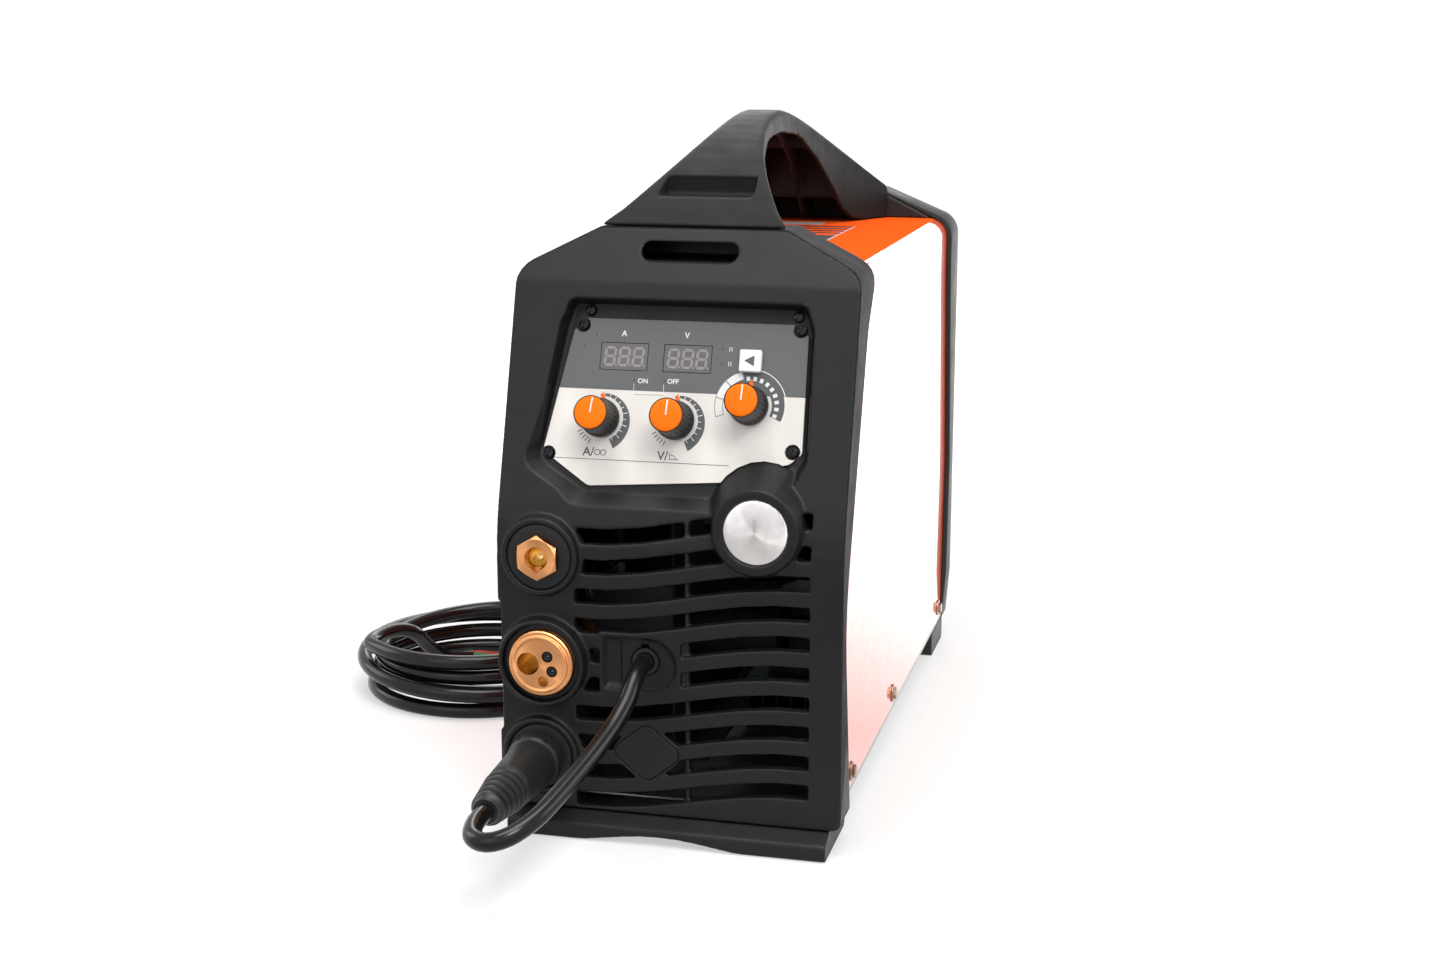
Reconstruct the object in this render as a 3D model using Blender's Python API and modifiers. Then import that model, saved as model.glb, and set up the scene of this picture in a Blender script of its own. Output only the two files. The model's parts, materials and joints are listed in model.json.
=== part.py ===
# A portable inverter welding machine: moulded front bezel with controls and sockets, sheet cover,
# arched handle, rear panel with fan, wire-feed bay behind a side door, and its two leads.
# Metres. X is to the right as seen from the front, the front faces -Y, Z is up.
# The origin is on the floor, under the middle of the machine.

from math import cos, hypot, pi, radians, sin, tan

import bmesh
import bpy
from mathutils import Matrix, Vector

# Clearances
SEAT_GAP = 0.0003
DOOR_GAP = 0.001

# Case
CASE_FRONT = -0.236
CASE_REAR = 0.235
COVER_HALF = 0.1035
BEZEL_LIP = 0.0035
BEZEL_HALF = COVER_HALF + BEZEL_LIP
CUT_REACH = BEZEL_HALF + 0.023
BEZEL_BOTTOM = 0.016
BEZEL_TOP = 0.368
BEZEL_WALL = 0.003
NOTCH_SPAN = (0.064, 0.1445)
NOTCH_DEPTH = 0.0018
GRILLE_DEPTH = 0.008
CROWN_HALF = 0.058
SHOULDER_DROP = 0.5
SHOULDER_ROUND = 0.016
FRONT_LEAN = radians(17)
LEAN_START = 0.190
LEDGE_DROP = 0.032
LEDGE_HEIGHT = BEZEL_TOP - LEDGE_DROP
CROWN_FRONT = -0.171
CROWN_REAR = -0.136

# Sheet cover
COVER_ROOF = 0.3445
COVER_ROUND = 0.014
COVER_BOTTOM = 0.0265
SHEET = 0.0015
COVER_LAP = 0.004
COVER_REAR = 0.222

# Base and feet
FOOT_INSET = 0.0035
FOOT_HALF = COVER_HALF - FOOT_INSET
FOOT_FRONT = -0.248
FOOT_BACK = -0.184
FOOT_SCALLOP = (-0.060, 0.054)
FOOT_SCALLOP_HEIGHT = 0.006
FOOT_SCALLOP_RUN = 0.036
TRAY_FLANGE = 0.030
TRAY_FRONT = -0.218
TRAY_REAR = 0.230
REAR_FOOT_INSET = 0.0015
REAR_FOOT_HALF = COVER_HALF - REAR_FOOT_INSET
REAR_FOOT_FRONT = 0.176
REAR_FOOT_BACK = 0.233

# Strap slot in the sloped top of the bezel
STRAP_HALF = 0.030
STRAP_HEIGHT = 0.011
STRAP_Z = 0.3542
STRAP_POCKET_HALF = 0.045

# Control panel, on the floor of a recess in the leaning bezel face
PANEL_LEAN = radians(19)
PANEL_Y = -0.2035
PANEL_Z = 0.260
OVERLAY_THICK = 0.002
KNOB_RADIUS = 0.0108
KNOB_HEIGHT = 0.0225
KNOB_CAP_RADIUS = 0.0098
KNOB_CAP_THICK = 0.0022
KNOB_LIFT = 0.0008
POT_RADIUS = 0.008
SHAFT_RADIUS = 0.003
SHAFT_LENGTH = 0.0150
KNOB_PLACES = {"current": (-0.0482, -0.0054), "voltage": (-0.0016, -0.0048), "mode": (0.0429, 0.0060)}
DISPLAY_SIZE = (0.0294, 0.0164)
DISPLAY_PLACES = ((-0.0371, 0.0329), (0.0025, 0.0329))
BUTTON_SIDE = 0.0135
BUTTON_PLACE = (0.0418, 0.0327)
BUTTON_HEIGHT = 0.0035
OVERLAY_SCREWS = ((-0.0645, 0.0516), (0.0707, 0.0526), (-0.0798, -0.0281), (0.0710, -0.0204))
OVERLAY_NOTCH = 0.0048
OVERLAY_SCREW_HEAD = 0.0033
BEZEL_SCREWS = {"left": (-0.0609, 0.0609), "right": (0.0684, 0.0609)}
BEZEL_SCREW_HEAD = 0.0034
SCREW_SHANK = 0.0015
SCREW_HEAD_HEIGHT = 0.0022

# Badge boss
BADGE_PLACE = (0.0548, 0.198)
BADGE_RADIUS = 0.0198
BADGE_BOSS = 0.0255
BADGE_FLARE = 0.0410
BADGE_ROOT = 0.031
BADGE_PROUD = 0.0045
BADGE_THICK = 0.0022

# Sockets, on the upright lower face
UPPER_SOCKET = (0.0285 - BEZEL_HALF, 0.1755)
TORCH_SOCKET = (0.0295 - BEZEL_HALF, 0.1097)
LOWER_SOCKET = (0.0270 - BEZEL_HALF, 0.0495)
RING_FLARE = 0.0022
SOCKET_RING = 0.0240
SOCKET_RING_PROUD = 0.005
SOCKET_SEAT = 0.0205
SOCKET_SEAT_DEPTH = 0.004
SOCKET_FLANGE = 0.0028
SOCKET_SPIGOT = 0.0160
SOCKET_SPIGOT_DEPTH = 0.021
CONTACT_RADIUS = 0.0115
CONTACT_HEX = 0.0140
CONTACT_HEX_THICK = 0.0045
CONTACT_DEPTH = 0.033
CONTACT_BORE = 0.0066
CONTACT_BORE_DEPTH = 0.030
TORCH_RING = 0.0272
TORCH_RING_PROUD = 0.0085
TORCH_SEAT = 0.0245
TORCH_SEAT_DEPTH = 0.0065
TORCH_INSULATOR = 0.0025
TORCH_BODY = 0.0205
TORCH_BODY_PROUD = 0.0105
TORCH_BODY_DEPTH = 0.046
TORCH_BORE = 0.0070
TORCH_BORE_OFFSET = -0.0072
TORCH_BORE_DEPTH = 0.030
TORCH_GAS = (0.0024, -0.0106)
TORCH_GAS_RADIUS = 0.0033
TORCH_PINS = ((0.0052, 0.0052), (0.0080, -0.0039))
TORCH_PIN_RADIUS = 0.0032

# Lead boss, blank cover and grille
LEAD_HOLE = (-0.0143, 0.1126)
LEAD_RECESS = ((-0.0400, 0.0945), (0.0055, 0.1275))
LEAD_RECESS_DEPTH = 0.0025
LEAD_STEP = -0.0290
LEAD_STEP_DEPTH = 0.0015
LEAD_KEY_WIDTH = 0.005
GROMMET_RADIUS = 0.0082
GROMMET_LENGTH = 0.012
BLANK_PLACE = (-0.0132, 0.0553)
BLANK_HALF = (0.0237, 0.0188)
BLANK_THICK = 0.003
BLANK_PLUG = 0.0110
SLOT_COUNT = 10
SLOT_PITCH = 0.0184
SLOT_HEIGHT = 0.0092
SLOT_TOP = 0.2090
SLOT_RIGHT = BEZEL_HALF - 0.020
SLOT_LEFT = -0.058
SLOT_FALL = 0.0163
SLOT_CREST = 0.0736
SLOT_LOW = -0.0466
GRILLE_RIB = 0.0117
GRILLE_RIB_WIDTH = 0.003
GRILLE_RIB_BACK = 0.003
KEEP_OUT = 0.0028

# Handle
HANDLE_FRONT = -0.1705
HANDLE_REAR = 0.1955
HANDLE_TOP = 0.432
HANDLE_GRIP_HALF = 0.0140
HANDLE_FOOT_HALF = 0.0573
HANDLE_GRIP_DEPTH = 0.015
HANDLE_EDGE = 0.004
HANDLE_WALL = 0.003
HANDLE_POCKET = (0.0305, 0.384, 0.396)
HANDLE_POCKET_BACK = -0.121
HANDLE_RIBS = 5
HANDLE_ARCH = ((0.19, 0), (0.25, 0.05), (0.31, 0.16), (0.40, 0.42), (0.53, 0.69), (0.725, 0.94), (1, 1))

# Rear panel
REAR_LIP = 0.0015
REAR_HALF = COVER_HALF + REAR_LIP
REAR_TOP = 0.366
REAR_CROWN_HALF = 0.0505
REAR_WALL = 0.004
REAR_CROWN_FRONT = 0.196
FAN_PLACE = (REAR_HALF - 0.062, 0.205)
FAN_HOLE = 0.054
FAN_RADIUS = 0.050
FAN_HUB = 0.017
FAN_BLADES = 7
FAN_PITCH = radians(38)
FAN_DEPTH = 0.020
GUARD_RINGS = (0.027, 0.0405)
GUARD_WIRE = 0.0025
FAN_PIN = 0.003
SWITCH_PLACE = (-0.060, 0.290)
SWITCH_HALF = (0.0095, 0.0138)
ROCKER_HALF = (0.0090, 0.0120)
ROCKER_TILT = 0.0022
GAS_PLACE = (-0.060, 0.150)
GAS_END = 0.248
GLAND_PLACE = (-0.015, 0.060)
GLAND_NUT = 0.0125
GLAND_NUT_LENGTH = 0.010
GLAND_TAPER = 0.026

# Side door on the left, hung from its top edge
DOOR_FRONT = -0.140
DOOR_BACK = 0.151
DOOR_LOW = 0.062
DOOR_TOP = 0.3235
HINGE_Z = 0.326
HINGE_BARREL = 0.003
HINGE_PIN = 0.0012
HINGE_SPLITS = (-0.060, -0.030, 0.040, 0.070)
LATCH_PLACE = (0.005, 0.078)
LATCH_HEAD = 0.009
LATCH_HEAD_THICK = 0.003
LATCH_SHANK = 0.004
LATCH_TONGUE = 0.026

# Wire bay
PARTITION_X = -0.020
PARTITION_FRONT = -0.150
PARTITION_REAR = 0.195
PARTITION_TOP = 0.338
PARTITION_FOOT = 0.024
ROLL_Y = -0.105
ROLL_RADIUS = 0.0125
ROLL_WIDTH = 0.010
WIRE_ROOM = 0.001
ROLL_SHAFT = 0.004
BLOCK_LEFT = 0.0275 - COVER_HALF
BLOCK_FRONT = -0.142
BLOCK_BACK = -0.070
BLOCK_LOW = 0.070
BLOCK_TOP = 0.119
ARM_PIVOT = (-0.1335, 0.1265)
ARM_THICK = 0.003
ARM_HALF = 0.0055
ARM_END = -0.070
TENSION_RADIUS = 0.009
TENSION_HEIGHT = 0.024
MOTOR_RADIUS = 0.021
MOTOR_LENGTH = 0.062
HUB_PLACE = (0.060, 0.205)
HUB_RADIUS = 0.0245
HUB_FLANGE = 0.035
HUB_LENGTH = 0.050
HUB_AXLE = 0.008

# Electronics bay
SINK_LEFT = 0.012
SINK_ROOM = 0.0095
SINK_RIGHT = COVER_HALF - SINK_ROOM
SINK_FRONT = -0.080
SINK_REAR = 0.120
SINK_BASE = 0.005
SINK_HEIGHT = 0.034
SINK_FINS = 9
SINK_FIN = 0.002
BOARD = 0.0016
CAPACITOR = (0.0175, 0.045)
CORE_SIZE = (0.056, 0.060, 0.050)

# Cover screws on the right side
COVER_SCREWS = {"front": -0.183, "middle": -0.0265, "rear": 0.194}
COVER_SCREW_Z = 0.0355
COVER_SCREW_WASHER = 0.0062
COVER_SCREW_HEAD = 0.0042

# Leads
CORD_RADIUS = 0.0055
PLUG_LENGTH = 0.090
PLUG_RADIUS = 0.0170
PLUG_PIN = 0.0062
COIL_CENTRE = (-0.2205, 0.028)
COIL_RADIUS = 0.0875
COIL_STEP = 0.0160
COIL_RISE = 0.0116
COIL_FLOOR = 0.0058
COIL_LAYER_TURNS = (0.8, 0.8, 0.8, 0.45)
COIL_CLIMB = 0.5
COIL_POINTS = 24
CORE_RADIUS = 0.0016

POLARITY_ROUTE = (
    (-0.0143, -0.2415, 0.1126),
    (-0.0143, -0.2510, 0.1108),
    (-0.0146, -0.2600, 0.1055),
    (-0.0160, -0.2690, 0.0975),
    (-0.0190, -0.2830, 0.0890),
    (-0.0232, -0.3000, 0.0812),
    (-0.0285, -0.3180, 0.0735),
    (-0.0345, -0.3380, 0.0655),
    (-0.0415, -0.3570, 0.0580),
    (-0.0520, -0.3715, 0.0520),
    (-0.0640, -0.3760, 0.0490),
    (-0.0745, -0.3690, 0.0485),
    (-0.0795, -0.3540, 0.0490),
    (-0.0800, -0.3400, 0.0495),
)
MAINS_ROUTE = (
    (-0.0150, 0.2715, 0.0600),
    (-0.0150, 0.2830, 0.0600),
    (-0.0156, 0.2960, 0.0574),
    (-0.0195, 0.3140, 0.0480),
    (-0.0300, 0.3330, 0.0310),
    (-0.0490, 0.3450, 0.0150),
    (-0.0720, 0.3420, 0.0070),
    (-0.0950, 0.3240, 0.0058),
    (-0.1110, 0.2950, 0.0058),
    (-0.1195, 0.2600, 0.0058),
    (-0.1245, 0.2200, 0.0058),
    (-0.1285, 0.1700, 0.0058),
    (-0.1312, 0.1200, 0.0058),
    (-0.1328, 0.0800, 0.0058),
    (-0.1330, 0.0550, 0.0058),
)
TAIL_TURN = radians(100)
TAIL_RADIUS = 0.0545
TAIL_POINTS = 16
CORE_LENGTH = 0.030


# Helpers: collections, paints and meshes

for old in list(bpy.data.objects):
    bpy.data.objects.remove(old, do_unlink=True)

parts = bpy.data.collections.new("welding_machine")
cutters = bpy.data.collections.new("cutters")
for group in (parts, cutters):
    bpy.context.scene.collection.children.link(group)


def paint(name, colour, roughness, metallic=0.0):
    made = bpy.data.materials.new(name)
    made.use_nodes = True
    shader = made.node_tree.nodes["Principled BSDF"]
    shader.inputs["Base Color"].default_value = (*colour, 1.0)
    shader.inputs["Roughness"].default_value = roughness
    shader.inputs["Metallic"].default_value = metallic
    return made


CHARCOAL = paint("charcoal_plastic", (0.035, 0.035, 0.037), 0.6)
BLACK = paint("black_plastic", (0.012, 0.012, 0.013), 0.45)
RUBBER = paint("black_rubber", (0.010, 0.010, 0.011), 0.5)
ORANGE = paint("orange_paint", (0.90, 0.10, 0.02), 0.3)
CAP_ORANGE = paint("orange_plastic", (0.95, 0.22, 0.01), 0.4)
SILVER = paint("silver_film", (0.62, 0.62, 0.62), 0.35, 0.6)
WHITE = paint("white_plastic", (0.85, 0.85, 0.85), 0.4)
BRASS = paint("brass", (0.80, 0.52, 0.20), 0.25, 1.0)
STEEL = paint("zinc_steel", (0.60, 0.60, 0.62), 0.35, 1.0)
ALUMINIUM = paint("aluminium", (0.75, 0.75, 0.76), 0.4, 1.0)
BOARD_GREEN = paint("circuit_board", (0.02, 0.16, 0.06), 0.5)
FERRITE = paint("ferrite", (0.05, 0.05, 0.055), 0.7)
CORE_GREEN = paint("core_insulation", (0.02, 0.22, 0.08), 0.4)


def turned_empty(name, place, turn):
    empty = bpy.data.objects.new(name, None)
    parts.objects.link(empty)
    empty.location = place
    empty.rotation_euler = turn
    return empty


# Working frames. front: x, up, out. side: y, z, x. panel: x, up, out. back: -x, up, out.
front = turned_empty("front_frame", (0, CASE_FRONT, 0), (pi / 2, 0, 0))
side = turned_empty("side_frame", (0, 0, 0), (pi / 2, 0, pi / 2))
panel = turned_empty("panel_frame", (0, PANEL_Y, PANEL_Z), (pi / 2 - PANEL_LEAN, 0, 0))
back = turned_empty("back_frame", (0, CASE_REAR, 0), (pi / 2, 0, pi))


def welded(mesh):
    work = bmesh.new()
    work.from_mesh(mesh)
    bmesh.ops.remove_doubles(work, verts=work.verts, dist=1e-6)
    bmesh.ops.recalc_face_normals(work, faces=work.faces)
    work.to_mesh(mesh)
    work.free()
    return mesh


def mesh_of(thing):
    bpy.context.scene.collection.objects.link(thing)
    graph = bpy.context.evaluated_depsgraph_get()
    mesh = bpy.data.meshes.new_from_object(thing.evaluated_get(graph))
    bpy.data.objects.remove(thing)
    return welded(mesh)


def put(name, mesh, frame=None, finish=None, at=(0, 0, 0), turn=(0, 0, 0)):
    thing = bpy.data.objects.new(name, mesh)
    thing.parent = frame
    thing.location = at
    thing.rotation_euler = turn
    if finish:
        mesh.materials.append(finish)
        parts.objects.link(thing)
        mesh.shade_smooth()
        mesh.set_sharp_from_angle(angle=radians(35))
    else:
        cutters.objects.link(thing)
        thing.hide_render = True
        thing.display_type = "WIRE"
    return thing


def combine(thing, how, tools):
    for tool in tools:
        step = thing.modifiers.new(tool.name, "BOOLEAN")
        step.operation = how
        step.object = tool


def cut(thing, *tools):
    combine(thing, "DIFFERENCE", tools)


def join(thing, *tools):
    combine(thing, "UNION", tools)


def keep(thing, *tools):
    combine(thing, "INTERSECT", tools)


def box(low, high):
    mesh = bpy.data.meshes.new("box")
    work = bmesh.new()
    bmesh.ops.create_cube(work, size=1.0)
    size = [b - a for a, b in zip(low, high)]
    middle = [(a + b) / 2 for a, b in zip(low, high)]
    shape = Matrix.Translation(middle) @ Matrix.Diagonal((*size, 1))
    bmesh.ops.transform(work, matrix=shape, verts=work.verts)
    work.to_mesh(mesh)
    work.free()
    return mesh


def rod(radius, low, high, at=(0, 0), sides=24, far=None):
    mesh = bpy.data.meshes.new("rod")
    work = bmesh.new()
    place = Matrix.Translation((at[0], at[1], (low + high) / 2))
    end = radius if far is None else far
    bmesh.ops.create_cone(
        work, cap_ends=True, segments=sides, radius1=radius, radius2=end, depth=high - low, matrix=place
    )
    work.to_mesh(mesh)
    work.free()
    return mesh


def rounded(corners, steps=4):
    points = []
    count = len(corners)
    for index, (x, y, radius) in enumerate(corners):
        here = Vector((x, y))
        before = Vector(corners[index - 1][:2]) - here
        after = Vector(corners[(index + 1) % count][:2]) - here
        half = before.angle(after) / 2
        if radius <= 0 or half > radians(89):
            points.append((x, y))
            continue
        reach = radius / tan(half)
        middle = here + (before.normalized() + after.normalized()).normalized() * (radius / sin(half))
        start = here + before.normalized() * reach - middle
        sweep = start.angle_signed(here + after.normalized() * reach - middle)
        for step in range(steps + 1):
            spoke = start.copy()
            spoke.rotate(Matrix.Rotation(-sweep * step / steps, 2))
            points.append(tuple(middle + spoke))
    return points


def prism(low, high, *outlines):
    shape = bpy.data.curves.new("prism", "CURVE")
    shape.dimensions = "2D"
    shape.fill_mode = "BOTH"
    shape.extrude = (high - low) / 2
    for outline in outlines:
        line = shape.splines.new("POLY")
        line.points.add(len(outline) - 1)
        for point, (x, y) in zip(line.points, outline):
            point.co = (x, y, 0, 1)
        line.use_cyclic_u = True
    mesh = mesh_of(bpy.data.objects.new("prism", shape))
    mesh.transform(Matrix.Translation((0, 0, (low + high) / 2)))
    return mesh


def lathe(profile, steps=24):
    count = len(profile)
    mesh = bpy.data.meshes.new("lathe")
    edges = [(n, n + 1) for n in range(count - 1)]
    if profile[0][0] > 0:
        edges.append((count - 1, 0))
    mesh.from_pydata([(radius, 0, height) for radius, height in profile], edges, [])
    thing = bpy.data.objects.new("lathe", mesh)
    screw = thing.modifiers.new("turn", "SCREW")
    screw.steps = steps
    screw.render_steps = steps
    screw.use_merge_vertices = True
    screw.merge_threshold = 1e-5
    return mesh_of(thing)


def tube(points, radius, resolution=2):
    wire = bpy.data.curves.new("tube", "CURVE")
    wire.dimensions = "3D"
    wire.bevel_depth = radius
    wire.bevel_resolution = resolution
    wire.use_fill_caps = True
    line = wire.splines.new("POLY")
    line.points.add(len(points) - 1)
    for point, place in zip(line.points, points):
        point.co = (*place, 1)
    return mesh_of(bpy.data.objects.new("tube", wire))


def loft(rings):
    mesh = bpy.data.meshes.new("loft")
    work = bmesh.new()
    rows = [[work.verts.new(point) for point in ring] for ring in rings]
    count = len(rows[0])
    for row, following in zip(rows, rows[1:]):
        for n in range(count):
            m = (n + 1) % count
            work.faces.new((row[n], row[m], following[m], following[n]))
    work.faces.new(list(reversed(rows[0])))
    work.faces.new(rows[-1])
    work.to_mesh(mesh)
    work.free()
    return welded(mesh)


def smooth_route(points, spacing):
    # Catmull-Rom through the route's own points, read at an even spacing
    route = [Vector(point) for point in points]
    line = [route[0] * 2 - route[1], *route, route[-1] * 2 - route[-2]]
    fine = []
    for a, b, c, d in zip(line, line[1:], line[2:], line[3:]):
        for step in range(20):
            t = step / 20
            fine.append(
                b
                + (c - a) * t / 2
                + (2 * a - 5 * b + 4 * c - d) * t**2 / 2
                + (3 * b - a - 3 * c + d) * t**3 / 2
            )
    fine.append(route[-1])
    total = sum((q - p).length for p, q in zip(fine, fine[1:]))
    count = max(2, round(total / spacing))
    kept, run, target = [fine[0]], 0.0, total / count
    for p, q in zip(fine, fine[1:]):
        run += (q - p).length
        if run >= target and len(kept) < count:
            kept.append(q)
            target += total / count
    kept.append(fine[-1])
    return kept


def slot_outline(half_length, height, centre):
    x, z = centre
    radius = height / 2 - 1e-5
    corners = ((-1, -1), (1, -1), (1, 1), (-1, 1))
    return rounded([(x + sx * half_length, z + sz * height / 2, radius) for sx, sz in corners], 4)


# Profiles shared by the case pieces

def crown_outline(half, bottom, top, crown_half, corner):
    shoulder = top - (half - crown_half) * SHOULDER_DROP
    right = [(half, bottom, corner), (half, shoulder, SHOULDER_ROUND), (crown_half, top, 0.004)]
    return rounded([*right, *[(-x, z, r) for x, z, r in reversed(right)]], 4)


def cover_outline(grow, bottom):
    half = COVER_HALF + grow
    top = COVER_ROOF + grow
    corner = COVER_ROUND + grow
    return rounded([(half, bottom, 0), (half, top, corner), (-half, top, corner), (-half, bottom, 0)], 5)


def front_line(z):
    return CASE_FRONT + max(0.0, z - LEAN_START) * tan(FRONT_LEAN)


def panel_line(z):
    return PANEL_Y + (z - PANEL_Z) * tan(PANEL_LEAN)


def bezel_seam(shift):
    return [
        (CROWN_REAR + shift, BEZEL_TOP, 0),
        (CROWN_REAR + shift, 0.350, 0.004),
        (-0.146 + shift, 0.330, 0.012),
        (-0.164 + shift, 0.308, 0.030),
        (-0.226 + shift, 0.145, 0.100),
        (-0.203 + shift, BEZEL_BOTTOM, 0),
    ]


def rear_seam(shift):
    return [
        (0.207 + shift, 0, 0),
        (0.2155 + shift, 0.150, 0.080),
        (REAR_CROWN_FRONT + shift, 0.300, 0.080),
        (REAR_CROWN_FRONT + shift, REAR_TOP + 0.01, 0),
    ]


# Front bezel

def ring_boss(place, radius, proud):
    return put("boss", rod(radius + RING_FLARE, -GRILLE_DEPTH, proud, place, 24, radius), front)


def badge_cone(name, grow):
    cone = rod(BADGE_FLARE + grow, -BADGE_ROOT, BADGE_PROUD, BADGE_PLACE, 28, BADGE_BOSS + grow)
    return put(name, cone, front)


def make_bezel():
    outline = crown_outline(BEZEL_HALF, BEZEL_BOTTOM, BEZEL_TOP, CROWN_HALF, 0.005)
    bezel = put("front_bezel", prism(-0.11, 0.03, outline), front, CHARCOAL)
    ledge = front_line(LEDGE_HEIGHT)
    profile = [
        (CASE_FRONT, BEZEL_BOTTOM, 0),
        (CASE_FRONT, LEAN_START, 0.12),
        (ledge, LEDGE_HEIGHT, 0.010),
        (CROWN_FRONT, BEZEL_TOP, 0.002),
        *bezel_seam(0),
    ]
    keep(bezel, put("bezel_profile", prism(-CUT_REACH, CUT_REACH, rounded(profile, 3)), side))
    edges = bezel.modifiers.new("edges", "BEVEL")
    edges.width = 0.003
    edges.segments = 2
    edges.limit_method = "ANGLE"
    edges.angle_limit = radians(50)

    # Shallow notch in the left edge, beside the torch socket
    low, high = NOTCH_SPAN
    edge = NOTCH_DEPTH - BEZEL_HALF
    notch = [(-CUT_REACH, low - 0.02), (edge, low), (edge, high), (-CUT_REACH, high + 0.02)]
    cut(bezel, put("side_notch", prism(-0.028, 0.05, notch), front))

    # The inside clears the cover all round and stays behind the grille and the recess floor
    floor_back = BEZEL_WALL / cos(PANEL_LEAN)
    inside = put("bezel_inside", prism(-0.2, 0, cover_outline(SEAT_GAP, BEZEL_BOTTOM + BEZEL_WALL)), front)
    room = [
        (CASE_FRONT + GRILLE_DEPTH, 0),
        (CASE_FRONT + GRILLE_DEPTH, 0.199),
        (panel_line(0.2045) + floor_back, 0.2045),
        (panel_line(0.334) + floor_back, 0.334),
        (-0.165, 0.36),
        (0, 0.36),
        (0, 0),
    ]
    keep(inside, put("bezel_room", prism(-CUT_REACH, CUT_REACH, room), side))
    cut(bezel, inside)

    # Strap slot and the pocket behind it, above the roof
    pocket_low = COVER_ROOF + SEAT_GAP + BEZEL_WALL
    pocket_high = BEZEL_TOP - BEZEL_WALL
    slope = (CROWN_FRONT - ledge) / (BEZEL_TOP - LEDGE_HEIGHT)

    def behind_slope(z):
        return ledge + (z - LEDGE_HEIGHT) * slope + 0.0036

    pocket = [
        (behind_slope(pocket_low), pocket_low),
        (behind_slope(pocket_high), pocket_high),
        (CROWN_REAR - BEZEL_WALL, pocket_high),
        (CROWN_REAR - BEZEL_WALL, pocket_low),
    ]
    cut(bezel, put("strap_pocket", prism(-STRAP_POCKET_HALF, STRAP_POCKET_HALF, pocket), side))
    slot = slot_outline(STRAP_HALF, STRAP_HEIGHT, (0, STRAP_Z))
    cut(bezel, put("strap_slot", prism(-0.070, 0.03, slot), front))

    # Recess for the controls, flaring outwards
    floor = [
        (-0.0705, 0.0655, 0.005),
        (0.0730, 0.0655, 0.005),
        (0.0780, 0.0510, 0.010),
        (0.0790, -0.0240, 0.010),
        (0.0615, -0.0497, 0.010),
        (-0.0560, -0.0497, 0.010),
        (-0.0860, -0.0310, 0.010),
        (-0.0745, 0.0510, 0.010),
    ]
    mouth = [
        (-0.0715, 0.0660, 0.005),
        (0.0785, 0.0660, 0.005),
        (0.0850, 0.0500, 0.010),
        (0.0880, -0.0360, 0.010),
        (0.0640, -0.0850, 0.010),
        (-0.0720, -0.0850, 0.010),
        (-0.1085, -0.0480, 0.010),
        (-0.0790, 0.0500, 0.010),
    ]
    rings = [[(x, y, 0) for x, y in rounded(floor, 2)], [(x, y, 0.03) for x, y in rounded(mouth, 2)]]
    cut(bezel, put("recess", loft(rings), panel))

    # Bosses, then everything that is cut through them
    join(bezel, badge_cone("badge_boss", 0))
    join(bezel, ring_boss(UPPER_SOCKET, SOCKET_RING, SOCKET_RING_PROUD))
    join(bezel, ring_boss(LOWER_SOCKET, SOCKET_RING, SOCKET_RING_PROUD))
    join(bezel, ring_boss(TORCH_SOCKET, TORCH_RING, TORCH_RING_PROUD))
    (left, low), (right, high) = LEAD_RECESS
    end = (high - low) / 2 - 1e-5
    corners = [(left, low, 0.003), (right, low, end), (right, high, end), (left, high, 0.003)]
    cut(bezel, put("lead_recess", prism(-LEAD_RECESS_DEPTH, 0.02, rounded(corners, 4)), front))
    deep = LEAD_RECESS_DEPTH + LEAD_STEP_DEPTH
    step = box((left + 0.0015, low + 0.002, -deep), (LEAD_STEP, high - 0.002, 0.02))
    cut(bezel, put("lead_step", step, front))

    badge_seat = rod(BADGE_RADIUS + SEAT_GAP, BADGE_PROUD - BADGE_THICK, BADGE_PROUD + 0.01, BADGE_PLACE, 28)
    cut(bezel, put("badge_seat", badge_seat, front))
    for place in (UPPER_SOCKET, LOWER_SOCKET):
        floor_out = SOCKET_RING_PROUD - SOCKET_SEAT_DEPTH
        cut(bezel, put("socket_seat", rod(SOCKET_SEAT, floor_out, 0.02, place, 24), front))
        cut(bezel, put("socket_hole", rod(SOCKET_SPIGOT + SEAT_GAP, -0.03, 0.02, place, 24), front))
    torch_floor = TORCH_RING_PROUD - TORCH_SEAT_DEPTH
    cut(bezel, put("torch_seat", rod(TORCH_SEAT, torch_floor, 0.02, TORCH_SOCKET, 28), front))
    cut(bezel, put("torch_hole", rod(TORCH_BODY + SEAT_GAP, -0.03, 0.02, TORCH_SOCKET, 28), front))
    cut(bezel, put("lead_hole", rod(GROMMET_RADIUS + SEAT_GAP, -0.03, 0.02, LEAD_HOLE, 24), front))
    key = box(
        (LEAD_HOLE[0] - LEAD_KEY_WIDTH / 2, LEAD_HOLE[1], -LEAD_RECESS_DEPTH - 0.003),
        (LEAD_HOLE[0] + LEAD_KEY_WIDTH / 2, LEAD_HOLE[1] + GROMMET_RADIUS + 0.0025, 0.02),
    )
    cut(bezel, put("lead_key", key, front))
    cut(bezel, put("blank_seat", prism(-BLANK_THICK, 0.02, blank_outline(SEAT_GAP)), front))
    cut(bezel, put("blank_hole", rod(BLANK_PLUG + SEAT_GAP, -0.03, 0.02, BLANK_PLACE, 20), front))

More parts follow.
